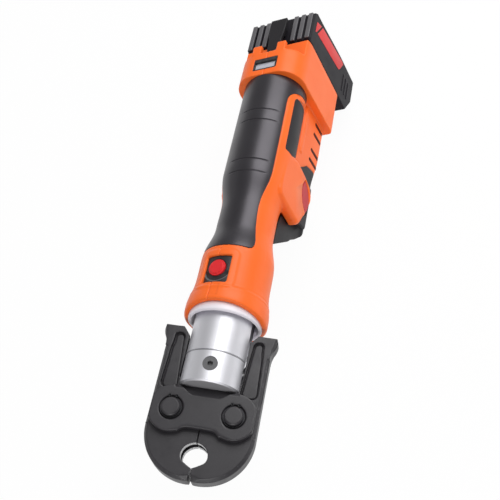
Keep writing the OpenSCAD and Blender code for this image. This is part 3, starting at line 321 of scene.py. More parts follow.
def dull_yoke_face():
    """The sawn front face of the yoke is grey and dull against its turned side, and the ring groove is darkened as
    painted shade.
    """
    tree = YOKE.node_tree
    shader = tree.nodes["Principled BSDF"].inputs
    front_face, groove_rear, groove_front = (-0.05455, -0.05438), (-0.08075, -0.08055), (-0.07985, -0.07965)
    face = band(tree, *front_face)
    tint(YOKE, face, (0.34, 0.335, 0.35))
    rough = put(tree, "ShaderNodeMix", {0: face, 2: shader["Roughness"].links[0].from_socket, 3: 0.55}).outputs[0]
    tree.links.new(rough, shader["Roughness"])
    tree.links.new(remap(tree, face, 0, 1, 1, 0.15), shader["Metallic"])
    # Painted shade: the ring groove is darkened
    groove = times(tree, band(tree, *groove_rear), remap(tree, band(tree, *groove_front), 0, 1, 0.75, 0))
    tint(YOKE, groove, (0.08, 0.08, 0.085))


def bare_jaw_mouth():
    """The lips and the bead groove of the jaws are bare, speckled steel."""
    tree = JAW.node_tree
    place = object_place(tree)
    near = remap(tree, flat_reach(tree, place)[1], 0.0122, 0.0128, 1, 0)
    speck = noise(tree, place, 900, 4, 0.7)
    facing = put(tree, "ShaderNodeSeparateXYZ", {0: put(tree, "ShaderNodeTexCoord").outputs["Normal"]}).outputs["Z"]
    wall = remap(tree, times(tree, facing, facing), 0.2, 0.55, 1, 0)
    mask = times(tree, times(tree, near, remap(tree, speck, 0.36, 0.56, 0.3, 0.95)), wall)
    tint(JAW, mask, (0.66, 0.66, 0.67))
    tree.links.new(times(tree, mask, 0.9), tree.nodes["Principled BSDF"].inputs["Metallic"])


def pale_pad_lip():
    """The lip of the scoop in front of the round button is painted paler."""
    tree = PAD.node_tree
    upright = put(tree, "ShaderNodeVectorRotate", {"Vector": object_place(tree), "Angle": -ROLL},
                  rotation_type="X_AXIS").outputs[0]
    apart = put(tree, "ShaderNodeVectorMath", {0: upright, 1: (BUTTON_BACK * MM, 0, 0)}, operation="ADD").outputs[0]
    flat, reach = flat_reach(tree, apart)
    ahead = put(tree, "ShaderNodeSeparateXYZ", {0: flat}).outputs["X"]
    lip = times(tree, remap(tree, reach, 0.0114, 0.0119, 0, 1), remap(tree, reach, 0.0127, 0.0134, 1, 0))
    tint(PAD, times(tree, lip, remap(tree, ahead, 0.003, 0.007, 0, 1)), (0.15, 0.15, 0.155))


dull_yoke_face()
bare_jaw_mouth()
pale_pad_lip()


def make_window():
    """Clear, pale display window."""
    material, tree, shader = new_material("window_clear")
    show(tree, shader, put(tree, "ShaderNodeGroup", {
        "Colour": (0.56, 0.57, 0.63, 1), "Cloud colour": (0.46, 0.47, 0.54, 1), "Cloud scale": 90, "Roughness": 0.12,
        "Roughness spread": 0.05}, node_tree=SKIN_GRAIN))
    return material


WINDOW = make_window()

SLOT_FINISH = {"jaw_black": JAW, "spring_steel": SPRING, "yoke_steel": YOKE, "ground_steel": STEEL,
               "seal_rubber": SEAL, "ring_plastic": RING, "housing_orange": ORANGE, "grip_black": GRIP,
               "black_plastic": PANEL, "red_plastic": RED, "window_clear": WINDOW, "board_green": BOARD,
               "screw_steel": PIN, "gearbox_alloy": ALLOY, "motor_can": CAN, "battery_black": BATTERY,
               "cell_sleeve": SLEEVE, "contact_brass": BRASS}


# Meshes

def link(name, data):
    piece = bpy.data.objects.new(name, data)
    scene.collection.objects.link(piece)
    return piece


def bake(piece):
    """Turns the piece with its modifiers into a plain mesh."""
    depsgraph = bpy.context.evaluated_depsgraph_get()
    mesh = bpy.data.meshes.new_from_object(piece.evaluated_get(depsgraph))
    old = piece.data
    piece.modifiers.clear()
    piece.data = mesh
    bpy.data.meshes.remove(old)
    mesh.name = piece.name
    return piece


def dress(piece, material, *nodes, body=None, slot=None):
    """Gives a piece its finish and body, taken from the nodes that it replaces if there are any. The slot is not used.
    """
    piece.data.materials.clear()
    piece.data.materials.append(material)
    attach(piece, body or BODY_OF[nodes[0]])
    if nodes:
        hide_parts(*nodes)


def closed_piece(name, points, faces):
    """A smooth closed mesh with its faces outwards."""
    mesh = bpy.data.meshes.new(name)
    mesh.from_pydata([tuple(p) for p in points], [], faces)
    shell = bmesh.new()
    shell.from_mesh(mesh)
    bmesh.ops.remove_doubles(shell, verts=shell.verts, dist=1e-7)
    bmesh.ops.recalc_face_normals(shell, faces=shell.faces)
    for face in shell.faces:
        face.smooth = True
    shell.to_mesh(mesh)
    shell.free()
    return link(name, mesh)


def points_of(mesh):
    flat = np.empty(3 * len(mesh.vertices))
    mesh.vertices.foreach_get("co", flat)
    return flat.reshape(-1, 3)


def set_points(mesh, points):
    mesh.vertices.foreach_set("co", points.ravel())
    mesh.update()


COS, SIN = math.cos(ROLL), math.sin(ROLL)


def to_handle(points):
    """Back, side and height on the upright handle, in millimetres."""
    x, y, z = points.T / MM
    return np.stack([-x, y * COS + z * SIN, z * COS - y * SIN], 1)


def from_handle(points):
    """Tool points in metres from back, side and height."""
    back, side, height = np.transpose(points) * MM
    return np.stack([-back, side * COS - height * SIN, side * SIN + height * COS], 1)


def on_round(back, angle, radius):
    """Tool points from back distance, angle from the top of the handle and radius."""
    shape = np.stack([back.ravel(), (radius * np.sin(angle)).ravel(), (radius * np.cos(angle)).ravel()], 1)
    return from_handle(shape)


def on_handle(move):
    """A shaping step for a mesh, from one that moves points on the upright handle."""
    def shape(mesh):
        set_points(mesh, from_handle(move(to_handle(points_of(mesh)))))
    return shape


def unit(value):
    """Holds a value between 0 and 1."""
    return np.clip(value, 0, 1)


def eased(share):
    """Soft step from 0 to 1."""
    return (1 - np.cos(np.pi * unit(share))) / 2


def rounded(share):
    """Quarter round, from 0 at its edge to 1 at its top."""
    return np.sqrt(1 - (1 - unit(share)) ** 2)


def curve(at, pairs):
    """Value of a curve that is given as pairs."""
    return np.interp(at, *np.transpose(pairs))


def handle_radius(back):
    """Barrel, waist and grip."""
    return 31.8 - 5.9 * eased((back - 168) / 34) + 5.3 * eased((back - 224) / 38)


def relax(mesh, share, rounds):
    """Evens out a mesh where the share of its points is above zero."""
    points = points_of(mesh)
    count = len(points)
    ends = np.empty(2 * len(mesh.edges), dtype=np.int32)
    mesh.edges.foreach_get("vertices", ends)
    a, b = ends[0::2], ends[1::2]
    degree = np.maximum(np.bincount(a, minlength=count) + np.bincount(b, minlength=count), 1)
    for _ in range(rounds):
        mean = np.stack([np.bincount(a, points[b, k], count) + np.bincount(b, points[a, k], count)
                         for k in range(3)], 1) / degree[:, None]
        points += (mean - points) * (0.5 * share)[:, None]
    set_points(mesh, points)


def soften(node, name, material, voxel, rounds, keep, shape, extra=None):
    """A shaped copy of a CAD node with moulded, slightly rounded edges, fused with an extra shell if there is one."""
    shell = bmesh.new()
    shell.from_mesh(NODES[node].data)
    if extra:
        shell.from_mesh(extra)
    bmesh.ops.remove_doubles(shell, verts=shell.verts, dist=1e-6)
    mesh = bpy.data.meshes.new(name)
    shell.to_mesh(mesh)
    shell.free()
    piece = link(name, mesh)
    skin = piece.modifiers.new("skin", "REMESH")
    skin.mode = "VOXEL"
    skin.voxel_size = voxel * MM
    skin.use_smooth_shade = True
    even = piece.modifiers.new("even", "SMOOTH")
    even.factor = 0.5
    even.iterations = rounds
    bake(piece)
    shape(piece.data)
    if keep < 1:
        thin = piece.modifiers.new("thin", "DECIMATE")
        thin.ratio = keep
        bake(piece)
    dress(piece, material, node)


for node, piece in NODES.items():
    piece.data.materials.clear()
    piece.data.materials.append(LOCK if node == "jaw_lock_pin" else SLOT_FINISH[SLOT_OF[node]])


# Black grip skin, laid on the round of the handle

# Back distances and edge angles in degrees
GRIP_EDGE = ((GRIP_FRONT, 42.5), (174.2, 46.5), (176, 49.4), (179, 51.8), (184, 52.9), (193, 51.8), (201, 50.0),
             (209, 48.2), (219, 47.2), (229, 48.6), (238, 51.8), (247, 54.4), (256, 55.2), (300, 55.2), (341, 54.8),
             (347, 55.4), (351, 58.2), (355, 64.2), (359, 75.6), (361.5, 90), (364, 112), (GRIP_REAR, 116))
GRIP_GROOVES = (253.0, 266.2, 313.0, 325.8)


def grip_angle(back):
    return np.radians(curve(back, GRIP_EDGE))


def round_sheet(name, backs, low, high, columns, lift, depth, lip, grooves=(), groove_angle=0.0):
    """A closed sheet on the round of the handle, between two angles at each back distance."""
    share = (1 - np.cos(np.linspace(0, np.pi, columns))) / 2
    back = np.repeat(backs[:, None], columns, 1)
    angle = low[:, None] + (high - low)[:, None] * share
    radius = handle_radius(back)
    side = np.minimum(angle - low[:, None], high[:, None] - angle) * radius
    end = np.minimum(back - backs[0], backs[-1] - back)
    rise = lift - lip * (1 - rounded(np.minimum(side, end) / lip))
    for groove in grooves:
        fade = eased((groove_angle - np.abs(angle - 0.17)) / 0.25)
        rise = rise - 0.6 * np.exp(-((back - groove) / 0.5) ** 2) * fade
    outer = on_round(back, angle, radius + rise)
    inner = on_round(back, angle, radius - depth)
    count = len(backs) * columns
    index = np.arange(count).reshape(len(backs), columns)
    faces = []
    for i in range(len(backs) - 1):
        for j in range(columns - 1):
            a, b, c, d = index[i, j], index[i, j + 1], index[i + 1, j + 1], index[i + 1, j]
            faces += [(a, b, c, d), (count + d, count + c, count + b, count + a)]
    rim = list(index[0, :]) + list(index[1:, -1]) + list(index[-1, -2::-1]) + list(index[-2:0:-1, 0])
    faces += [(rim[k - 1], rim[k], count + rim[k], count + rim[k - 1]) for k in range(len(rim))]
    return closed_piece(name, np.concatenate([outer, inner]), [tuple(map(int, f)) for f in faces])


def make_grip():
    """Grip skin with cross grooves, closer points along its edges and grooves."""
    fine = [g + np.linspace(-1.4, 1.4, 15) for g in GRIP_GROOVES]
    backs = np.unique(np.round(np.concatenate([np.linspace(GRIP_FRONT, 176, 14), np.linspace(176, GRIP_REAR, 150),
                                               np.linspace(369.5, GRIP_REAR, 8)] + fine), 3))
    edge = grip_angle(backs)
    left = edge + 0.11 * eased((backs - 174) / 6) * eased((216 - backs) / 10)
    piece = round_sheet("grip_skin", backs, -left, edge, columns=110, lift=0.22, depth=1.2, lip=0.7,
                        grooves=GRIP_GROOVES, groove_angle=math.radians(40))
    dress(piece, GRIP, "grip_right", "grip_left")


def make_panels():
    """Side panels with a slanted front end and a rounded rear end."""
    backs = np.linspace(288.2, 353.6, 80)
    front, rear = backs - backs[0], backs[-1] - backs
    high = np.radians(69.5 + 4.5 * (1 - rounded(front / 3.5)) + 9.0 * (1 - rounded(rear / 7.0)))
    low = np.radians(116 - 26.0 * (1 - unit(front / 9.0)) ** 1.2 - 5.0 * (1 - rounded(rear / 9.0)))
    for label, start, end in (("right", high, low), ("left", -low, -high)):
        piece = round_sheet("side_panel_skin_" + label, backs, start, end, columns=44, lift=0.12, depth=1.4, lip=0.6)
        dress(piece, PANEL, "side_panel_" + label)


# Housing halves

# Outlines of back distances and heights
LEAF = np.array([[274, 7.4], [258, 8.4], [247, 7.8], [242, 4.5], [239.2, -6.8], [235.9, -35.5], [238.2, -40.5],
                 [251.5, -50.5], [264, -58], [274.5, -61.3], [281, -60], [287.9, -53.5], [292.8, -29.6], [295, -15],
                 [291.5, -5.5], [284, 2.5]])
CORNER = np.array([[242.5, -39.5], [252, -43], [255, -46.5], [258.5, -52.5], [268, -55.5], [280, -55],
                   [287, -50.5], [292, -46], [294, -50], [292, -58], [286, -64], [280, -66.4], [270, -66.4],
                   [266, -62.2], [250, -62.2], [244, -57]])
# Back distances and radii of the collar, as built and as shown
COLLAR_BUILT = ((114, 35.2), (131, 35.2), (136, 31.8), (160, 31.8))
COLLAR_SHOWN = ((112, 34.7), (114, 35.0), (119, 35.3), (124, 35.2), (128, 34.8), (132, 34.0), (136, 33.1),
                (140, 32.4), (145, 31.95), (150, 31.8))


def depth_inside(points, outline):
    """Distance to the outline, positive for points inside it."""
    inside = np.zeros(len(points), dtype=bool)
    nearest = np.full(len(points), 1e9)
    for start, end in zip(outline, np.roll(outline, -1, 0)):
        along = end - start
        share = unit(((points - start) @ along) / (along @ along))
        nearest = np.minimum(nearest, np.linalg.norm(points - start - share[:, None] * along, axis=1))
        crosses = (start[1] > points[:, 1]) != (end[1] > points[:, 1])
        at = start[0] + (points[:, 1] - start[1]) * along[0] / (along[1] if along[1] else 1e-9)
        inside ^= crosses & (points[:, 0] < at)
    return np.where(inside, nearest, -nearest)


def hull(points):
    """Convex outline of flat points."""
    points = sorted(set(map(tuple, np.round(points, 3))))
    chains = []
    for run in (points, points[::-1]):
        chain = []
        for p in run:
            while len(chain) > 1 and (chain[-1][0] - chain[-2][0]) * (p[1] - chain[-2][1]) \
                    <= (chain[-1][1] - chain[-2][1]) * (p[0] - chain[-2][0]):
                chain.pop()
            chain.append(p)
        chains += chain[:-1]
    return np.array(chains)


def tuck(place):
    """Draws the low corner of the belly and its leaf pads upwards."""
    back, side, height = place.T
    reach = eased((np.abs(side) - 14) / 10) * eased((back - 226) / 14) * eased((336 - back) / 44)
    lifted = place.copy()
    lifted[:, 2] += 6.0 * eased((-32 - height) / 26) * reach
    return lifted


def fill_almond(place):
    """The button's face, drawn up with its leaf pad and fuller than its stem."""
    place = tuck(place)
    back, side, height = place.T.copy()
    face = np.abs(side) > FACE_FROM
    centre, middle = (back.max() + back.min()) / 2, (height.max() + height.min()) / 2
    place[:, 0] = np.where(face, centre + (back - centre) * 1.08, back)
    place[:, 1] = side + np.sign(side) * np.where(face, 2.3, 0)
    place[:, 2] = np.where(face, middle + (height - middle) * 1.65 + 1.0, height)
    return place


def pad_shell(sign, outline, rise, low, eye=None):
    """A closed pad on one side, with its underside beside and behind the trigger, and an eye if there is one."""
    step, trigger_rear = 0.6, 266
    back, height = np.arange(232, 306, step), np.arange(-70, 11, step)
    grid = np.stack(np.meshgrid(back, height, indexing="ij"), -1).reshape(-1, 2)
    top = rise(grid, depth_inside(grid, outline))
    middle = grid + step / 2
    keep = depth_inside(middle, outline) > 0
    if eye is not None:
        keep &= depth_inside(middle, eye) < -0.5
    keep = keep.reshape(len(back), len(height))
    count = len(grid)
    index = np.arange(count).reshape(len(back), len(height))
    under = np.where(grid[:, 0] < trigger_rear, *low)
    points = np.concatenate([np.stack([grid[:, 0], sign * level, grid[:, 1]], 1) for level in (top, under)])
    faces = []
    for i, j in zip(*np.nonzero(keep)):
        a, b, c, d = index[i, j], index[i + 1, j], index[i + 1, j + 1], index[i, j + 1]
        faces += [(a, b, c, d), (count + d, count + c, count + b, count + a)]
        for near, p, q in ((keep[i - 1, j], d, a), (keep[i + 1, j], b, c), (keep[i, j - 1], a, b),
                           (keep[i, j + 1], c, d)):
            if not near:
                faces.append((q, p, count + p, count + q))
    mesh = bpy.data.meshes.new("pad_shell")
    mesh.from_pydata([tuple(p) for p in from_handle(points)], [], [tuple(map(int, f)) for f in faces])
    shell = bmesh.new()
    shell.from_mesh(mesh)
    bmesh.ops.delete(shell, geom=[v for v in shell.verts if not v.link_faces], context="VERTS")
    bmesh.ops.recalc_face_normals(shell, faces=shell.faces)
    shell.to_mesh(mesh)
    shell.free()
    return mesh


def leaf_shell(sign, button):
    """Full leaf pad with a soft edge and an opening for its button."""
    eye = hull(to_handle(points_of(NODES[button].data))[:, [0, 2]])
    return pad_shell(sign, LEAF, lambda grid, deep: 27.6 + 3.6 * rounded(deep / 3.2), (21.6, 21.6), eye)


def corner_rise(grid, deep):
    """Side of the belly, rounded off towards its bottom."""
    return 27.9 - 0.062 * np.clip(-55 - grid[:, 1], 0, 20) ** 2


def make_belly_corners():
    """Black skin on the low corners of the belly, between the trigger and the belly skin."""
    both = bmesh.new()
    for sign in BOTH_SIDES:
        both.from_mesh(pad_shell(sign, CORNER, corner_rise, (24.3, 18.5)))
    mesh = bpy.data.meshes.new("belly_corner_skin")
    for face in both.faces:
        face.smooth = True
    both.to_mesh(mesh)
    both.free()
    relax(mesh, np.ones(len(mesh.vertices)), 5)
    dress(link("belly_corner_skin", mesh), PANEL, body="handle", slot="grip_black")


def shape_round(place):
    """Soft collar with a hollow front edge, raised border of the pad, and a housing that meets the edge of the grip."""
    back, side, height = place.T
    radius = np.hypot(side, height)
    angle = np.arctan2(side, height)
    # The bed of the grip is filled beyond the edge of the skin
    full = handle_radius(back)
    beyond = (np.abs(angle) > grip_angle(back) + 0.012) | (back < 173.2)
    sunk = (radius > full - 2.2) & (radius < full + 0.02) & (back > 166) & (back < 370)
    radius = np.where(beyond & sunk & ((height > 8.4) | (back > 358.5)), full, radius)
    # Collar
    built = curve(back, COLLAR_BUILT)
    skin = (radius > built - 0.9) & (back < 152)
    radius = radius + np.where(skin, curve(back, COLLAR_SHOWN) - built, 0)
    # Border of the pad, with a notch in front
    skirt = (back > 118) & (back < 170) & (height > 5) & (radius > 31.0)
    apart = np.hypot(np.maximum(np.abs(side) - 11.3, 0), np.maximum(np.abs(back - 149.7) - 13.3, 0))
    radius = radius + np.where(skirt, 0.9 * eased((7.4 - apart) / 3.2), 0)
    notch = np.where(side < 7.6, eased((side + 8) / 14), 0) * (height > 20)
    notch = notch * eased((back - 119) / 3) * eased((136 - back) / 2)
    radius = radius - 0.6 * np.where(radius > 31.0, notch, 0)
    # Front edge
    hollow = 5.8 * unit(np.cos((angle - 0.30) * 0.95)) ** 1.5 * np.clip((127 - back) / 13, 0, 1.2)
    return np.stack([back + np.where(radius > 30.9, hollow, 0), radius * np.sin(angle), radius * np.cos(angle)], 1)


def cut_sides(place):
    """Pockets for the release buttons, and a gutter under each side panel."""
    back, side, height = place.T
    wide = np.abs(side)
    for button in ("release_button_right", "release_button_left"):
        face = fill_almond(to_handle(points_of(NODES[button].data)))
        eye = hull(face[np.abs(face[:, 1]) > FACE_FROM][:, [0, 2]])
        near = (side * face[0, 1] > 0) & (wide > POCKET_FLOOR) & (back > 248) & (back < 296) & (height < -25)
        apart = -depth_inside(place[near][:, [0, 2]], eye)
        wide[near] = np.minimum(wide[near], POCKET_FLOOR + 8 * unit(apart - 0.5))
    gutter = 1.6 * unit(1 - ((height + 18.6) / 2.0) ** 2) * eased((back - 312) / 8) * eased((372 - back) / 4)
    wide = wide - np.where((wide > 23.5) & (wide < 33), gutter, 0)
    return np.stack([back, np.sign(side) * wide, height], 1)


@on_handle
def shape_housing(place):
    """Shell with its collar, tucked belly, pockets and gutters."""
    return cut_sides(tuck(shape_round(place)))


def shape_trigger(mesh):
    """A full, rounded nose at the low end of the trigger."""
    place = to_handle(points_of(mesh))
    back, side, height = place.T
    low = eased((-48 - height) / 14)
    place[:, 2] = height - 4.0 * eased((back - 212) / 24) * low
    place[:, 1] = side * (1 + 0.13 * eased((-59.5 - height) / 5))
    set_points(mesh, from_handle(place))
    relax(mesh, np.where(height < -45, 1.0, 0.3), 30)


@on_handle
def shape_button(place):
    """A lower button."""
    back, side, height = place.T
    rim = 30.2
    return np.stack([back, side, np.where(height > rim, rim + (height - rim) * 0.6, height)], 1)


def lean_in(back, height):
    """Rear wall that leans forwards towards the top."""
    lean = np.where(back > BATTERY_FRONT, 1 - 0.115 * eased((height + 70) / 85), 1)
    return BATTERY_FRONT + (back - BATTERY_FRONT) * lean


@on_handle
def shape_battery(place):
    """The rear wall leans in towards the top, and the stripe's bed is flush."""
    back, side, height = place.T
    bed = (back > 461) & (back < 474) & (height > -61) & (height < 3) & (np.abs(side) > 34.3)
    return np.stack([lean_in(back, height), np.where(bed, np.sign(side) * 35.6, side), height], 1)


@on_handle
def shape_latch(place):
    """The tab widens from its front to its rear."""
    back, side, height = place.T
    return np.stack([lean_in(back, height), side * (0.86 + 0.36 * eased((back - 414) / 34)), height], 1)


@on_handle
def shape_pad(place):
    """A scooped crescent in front of the round button."""
    back, side, height = place.T
    reach = np.hypot(back - BUTTON_BACK, side)
    scoop = eased((reach - 7.4) / 1.6) * eased((12.6 - reach) / 1.2) * eased((149.5 - back) / 4)
    return np.stack([back, side, height - np.where(height > 28.4, 1.3 * scoop, 0)], 1)


# Jaw set

# Back distances and half widths of the ears, angles from straight ahead and radii of the mouth
EAR = ((80, 42.9), (88, 42.9), (91, 43.4), (94, 44.6), (97, 46.0), (100, 46.8), (103, 47.0), (105, 46.4))
MOUTH = ((0, 7.6), (15, 7.0), (30, 6.85), (45, 7.1), (60, 7.9), (74, 9.2), (90, 10.2), (120, 11.0), (180, 11.6))


def mirrored(points):
    """Distances back, to either side, and up or down, in millimetres."""
    return -points[:, 0] / MM, np.abs(points[:, 1]) / MM, np.abs(points[:, 2]) / MM


def flare_ears(mesh):
    """Widens each ear of a jaw from its root to the curve of its edge."""
    root, first, step, count = 34, 78, 0.9, 32
    points = points_of(mesh)
    back, side, _ = mirrored(points)
    bins = np.clip(((back - first) / step).astype(int), 0, count - 1)
    edge = np.array([side[bins == k].max() if (bins == k).any() else 42.8 for k in range(count)])
    wide = np.interp(back, first + step / 2 + step * np.arange(count), edge)
    grow = np.where(back > 80, (curve(back, EAR) - root) / np.maximum(wide - root, 1), 1)
    points[:, 1] = np.sign(points[:, 1]) * np.where(side > root, root + (side - root) * grow, side) * MM
    set_points(mesh, points)
    relax(mesh, unit((back - 86) / 4) * unit((side - 33) / 3), 8)


def outline_pockets(points):
    """Sinks the floor of the pockets along their walls."""
    back, side, height = mirrored(points)
    floor = (np.abs(height - 5.8) < 0.35) & (back > 50) & (side > 22)
    wall = (height > 6.3) & (height < 7.6) & (back > 46) & (side > 20)
    tree = KDTree(int(wall.sum()))
    for k, point in enumerate(points[wall]):
        tree.insert(Vector((point[0], point[1], 0)), k)
    tree.balance()
    for k in np.nonzero(floor)[0]:
        away = tree.find(Vector((points[k, 0], points[k, 1], 0)))[2] / MM
        points[k, 2] -= np.sign(points[k, 2]) * MM * 1.1 * max(0.0, 1 - (away / 1.7) ** 2)


def shape_jaw(mesh):
    """Flared ears, outlined pockets and a mouth with a pointed front."""
    flare_ears(mesh)
    points = points_of(mesh)
    outline_pockets(points)
    reach = np.hypot(points[:, 0], points[:, 1]) / MM
    turn = np.degrees(np.abs(np.arctan2(points[:, 1], points[:, 0])))
    pull = (11.3 - curve(turn, MOUTH)) * unit((16.6 - reach) / 5.3)
    points[:, :2] *= np.where(reach > 1, (reach - pull) / np.maximum(reach, 1), 1)[:, None]
    back, side, _ = mirrored(points)
    points[:, 1] += np.sign(points[:, 1]) * MM * 0.9 * unit((-back - 8.5) / 6) * unit(1 - side / 3)
    set_points(mesh, points)


def shape_plate(mesh):
    """A wavy front edge with soft corners, and a slope down to the tongue at the rear."""
    back, side, _ = mirrored(points_of(mesh))
    relax(mesh, unit((26 - back) / 4) * unit((27 - side) / 6), 26)
    points = points_of(mesh)
    back, side, height = mirrored(points)
    share = unit((back - 45.5) / 8.8)
    share *= unit((10.7 + 12.7 * share - side) / 0.8)
    height = np.where(height > PLATE_LOW, PLATE_LOW + (height - PLATE_LOW) * (1 - 0.75 * share), height)
    points[:, 2] = np.sign(points[:, 2]) * height * MM
    set_points(mesh, points)


def shape_pins(mesh):
    """Higher pin heads."""
    points = points_of(mesh)
    head, rise = 14.6 * MM, 1.3 * MM
    points[:, 2] += np.sign(points[:, 2]) * np.where(np.abs(points[:, 2]) > head, rise, 0)
    set_points(mesh, points)


def lathe(name, profile, steps=128):
    """A closed ring about the tool axis from pairs of radius and back distance."""
    points, faces, count = [], [], len(profile)
    for i in range(steps):
        turn = 2 * math.pi * i / steps
        points += [(-b * MM, r * MM * math.sin(turn), r * MM * math.cos(turn)) for r, b in profile]
        n = (i + 1) % steps
        faces += [(i * count + k, i * count + (k + 1) % count, n * count + (k + 1) % count, n * count + k)
                  for k in range(count)]
    return closed_piece(name, points, faces)


def corner(cx, cy, r, start, end, steps=5):
    """Points of a rounded corner."""
    turns = [math.radians(start + (end - start) * k / steps) for k in range(steps + 1)]
    return [(cx + r * math.cos(turn), cy + r * math.sin(turn)) for turn in turns]


def make_swivel_ring():
    """White ring with a rounded front edge."""
    profile = [(25.55, 124), (25.55, 118.4), *corner(28.9, 113.4, 0.9, 215, 270), *corner(29.6, 114.1, 1.6, 270, 360),
               (31.2, 124)]
    dress(lathe("white_swivel_ring", profile), RING, "swivel_ring")


# Repeated small parts

def repeat_tree(name, material, crease):
    """Blocks with rounded edges on the points of a mesh, with one size and one turn."""
    tree = bpy.data.node_groups.new(name, "GeometryNodeTree")
    tree.interface.new_socket(name="Places", in_out="INPUT", socket_type="NodeSocketGeometry")
    for label, value in (("Length", 0.01), ("Width", 0.002), ("Height", 0.001), ("Turn", 0)):
        tree.interface.new_socket(name=label, in_out="INPUT", socket_type=FLOAT).default_value = value
    tree.interface.new_socket(name="Blocks", in_out="OUTPUT", socket_type="NodeSocketGeometry")
    given = tree.nodes.new("NodeGroupInput").outputs
    result = tree.nodes.new("NodeGroupOutput")
    size = put(tree, "ShaderNodeCombineXYZ", {0: given["Length"], 1: given["Width"], 2: given["Height"]}).outputs[0]
    block = put(tree, "GeometryNodeMeshCube", {"Size": size, "Vertices X": 9, "Vertices Y": 4, "Vertices Z": 3})
    smooth = put(tree, "GeometryNodeSubdivisionSurface", {"Mesh": block.outputs[0], "Level": 1, "Edge Crease": crease})
    turn = put(tree, "ShaderNodeCombineXYZ", {0: given["Turn"], 1: 0.0, 2: 0.0}).outputs[0]
    copies = put(tree, "GeometryNodeInstanceOnPoints", {"Points": given["Places"], "Instance": smooth.outputs[0],
                                                        "Rotation": turn})
    real = put(tree, "GeometryNodeRealizeInstances", {0: copies.outputs[0]})
    shade = put(tree, "GeometryNodeSetShadeSmooth", {0: real.outputs[0]})
    coat = put(tree, "GeometryNodeSetMaterial", {"Geometry": shade.outputs[0], "Material": material})
    tree.links.new(coat.outputs[0], result.inputs[0])
    return tree


def make_row(name, group, material, crease, spots, size, body, slot):
    """One plain mesh of equal blocks on the handle, from their middles and their length, width and height."""
    mesh = bpy.data.meshes.new(name)
    mesh.from_pydata([tuple(p) for p in from_handle(spots)], [], [])
    piece = link(name, mesh)
    blocks = piece.modifiers.new("blocks", "NODES")
    blocks.node_group = repeat_tree(group, material, crease)
    values = {"Length": size[0] * MM, "Width": size[1] * MM, "Height": size[2] * MM, "Turn": ROLL}
    for socket in blocks.node_group.interface.items_tree:
        if socket.name in values:
            blocks[socket.identifier] = float(values[socket.name])
    dress(bake(piece), material, body=body, slot=slot)


def make_rows():
    """Rib caps and side ribs of the battery, and dark blocks in the slots in the sides of the belly, which are painted
    shade for the shadow inside the vents.
    """
    caps = [[444.9, side, 17.75] for side in (-32, -24, -16, 16, 24, 32)]
    ribs = [[449.5, side * 35.6, height] for side in BOTH_SIDES for height in (-71.5, -78.5, -85.5)]
    # The dark blocks in the vent slots are painted shade
    slots = [[back, side * 26.75, -51.5] for side in BOTH_SIDES for back in (320.3, 332.5, 352.8, 365.5)]
    make_row("battery_rib_caps", "rib_cap_row", RIB, 0.35, caps, (35.6, 4.8, 1.7), "battery", "battery_black")
    make_row("battery_side_ribs", "side_rib_row", BATTERY, 0.3, ribs, (24, 1.3, 2.2), "battery", "battery_black")
    make_row("vent_slot_shade_blocks", "vent_shade_row", VENT_SHADE, 0.5, slots, (3.3, 1.2, 17.5), "handle", "black_plastic")


def make_stripes():
    """Red stripes on both sides of the battery, from outlines of back distance and height."""
    upper = [(444.5, 8.4), (458.5, 8.4), (463.4, -2.4), (446.0, 6.0)]
    lower = [(446.6, 3.0), (464.4, -5.4), (472.3, -63), (470.3, -65.2), (457.5, -59), (454.3, -56)]
    inner, outer = 34.9, 35.85
    points, faces = [], []
    for outline in (upper, lower):
        for side in BOTH_SIDES:
            base, count = len(points), len(outline)
            points += [[b, side * level, z] for level in (inner, outer) for b, z in outline]
            faces += [tuple(base + k for k in range(count)), tuple(base + count + k for k in range(count))]
            faces += [(base + k, base + (k + 1) % count, base + count + (k + 1) % count, base + count + k)
                      for k in range(count)]
    piece = closed_piece("red_side_stripes", from_handle(points), faces)
    round_off = piece.modifiers.new("round_off", "BEVEL")
    round_off.width, round_off.segments = 0.12 * MM, 2
    dress(bake(piece), STRIPE, "battery_stripes", body="battery", slot="red_plastic")


def make_window_frame_and_shade_band():
    """Black rim round the sunk display; its wide rear band is painted shade for the rear side wall in shadow."""
    outer = [(378.05, -12.35), (392.95, -12.35), (392.95, 12.35), (378.05, 12.35)]
    # The inner edge sits far from the outer one at the rear: that wide band of the rim is painted shade
    inner = [(379.1, -11.2), (388.6, -11.2), (388.6, 11.2), (379.1, 11.2)]
    low, high = 29.3, 31.85
    points = [[b, y, z] for z in (low, high) for ring in (outer, inner) for b, y in ring]
    faces = []
    for k in range(4):
        n = (k + 1) % 4
        faces += [(k, n, 8 + n, 8 + k), (4 + n, 4 + k, 12 + k, 12 + n), (8 + k, 8 + n, 12 + n, 12 + k),
                  (4 + k, 4 + n, n, k)]
    piece = closed_piece("window_frame_and_shade_band", from_handle(points), faces)
    for face in piece.data.polygons:
        face.use_smooth = False
    dress(piece, PANEL, body="handle", slot="black_plastic")


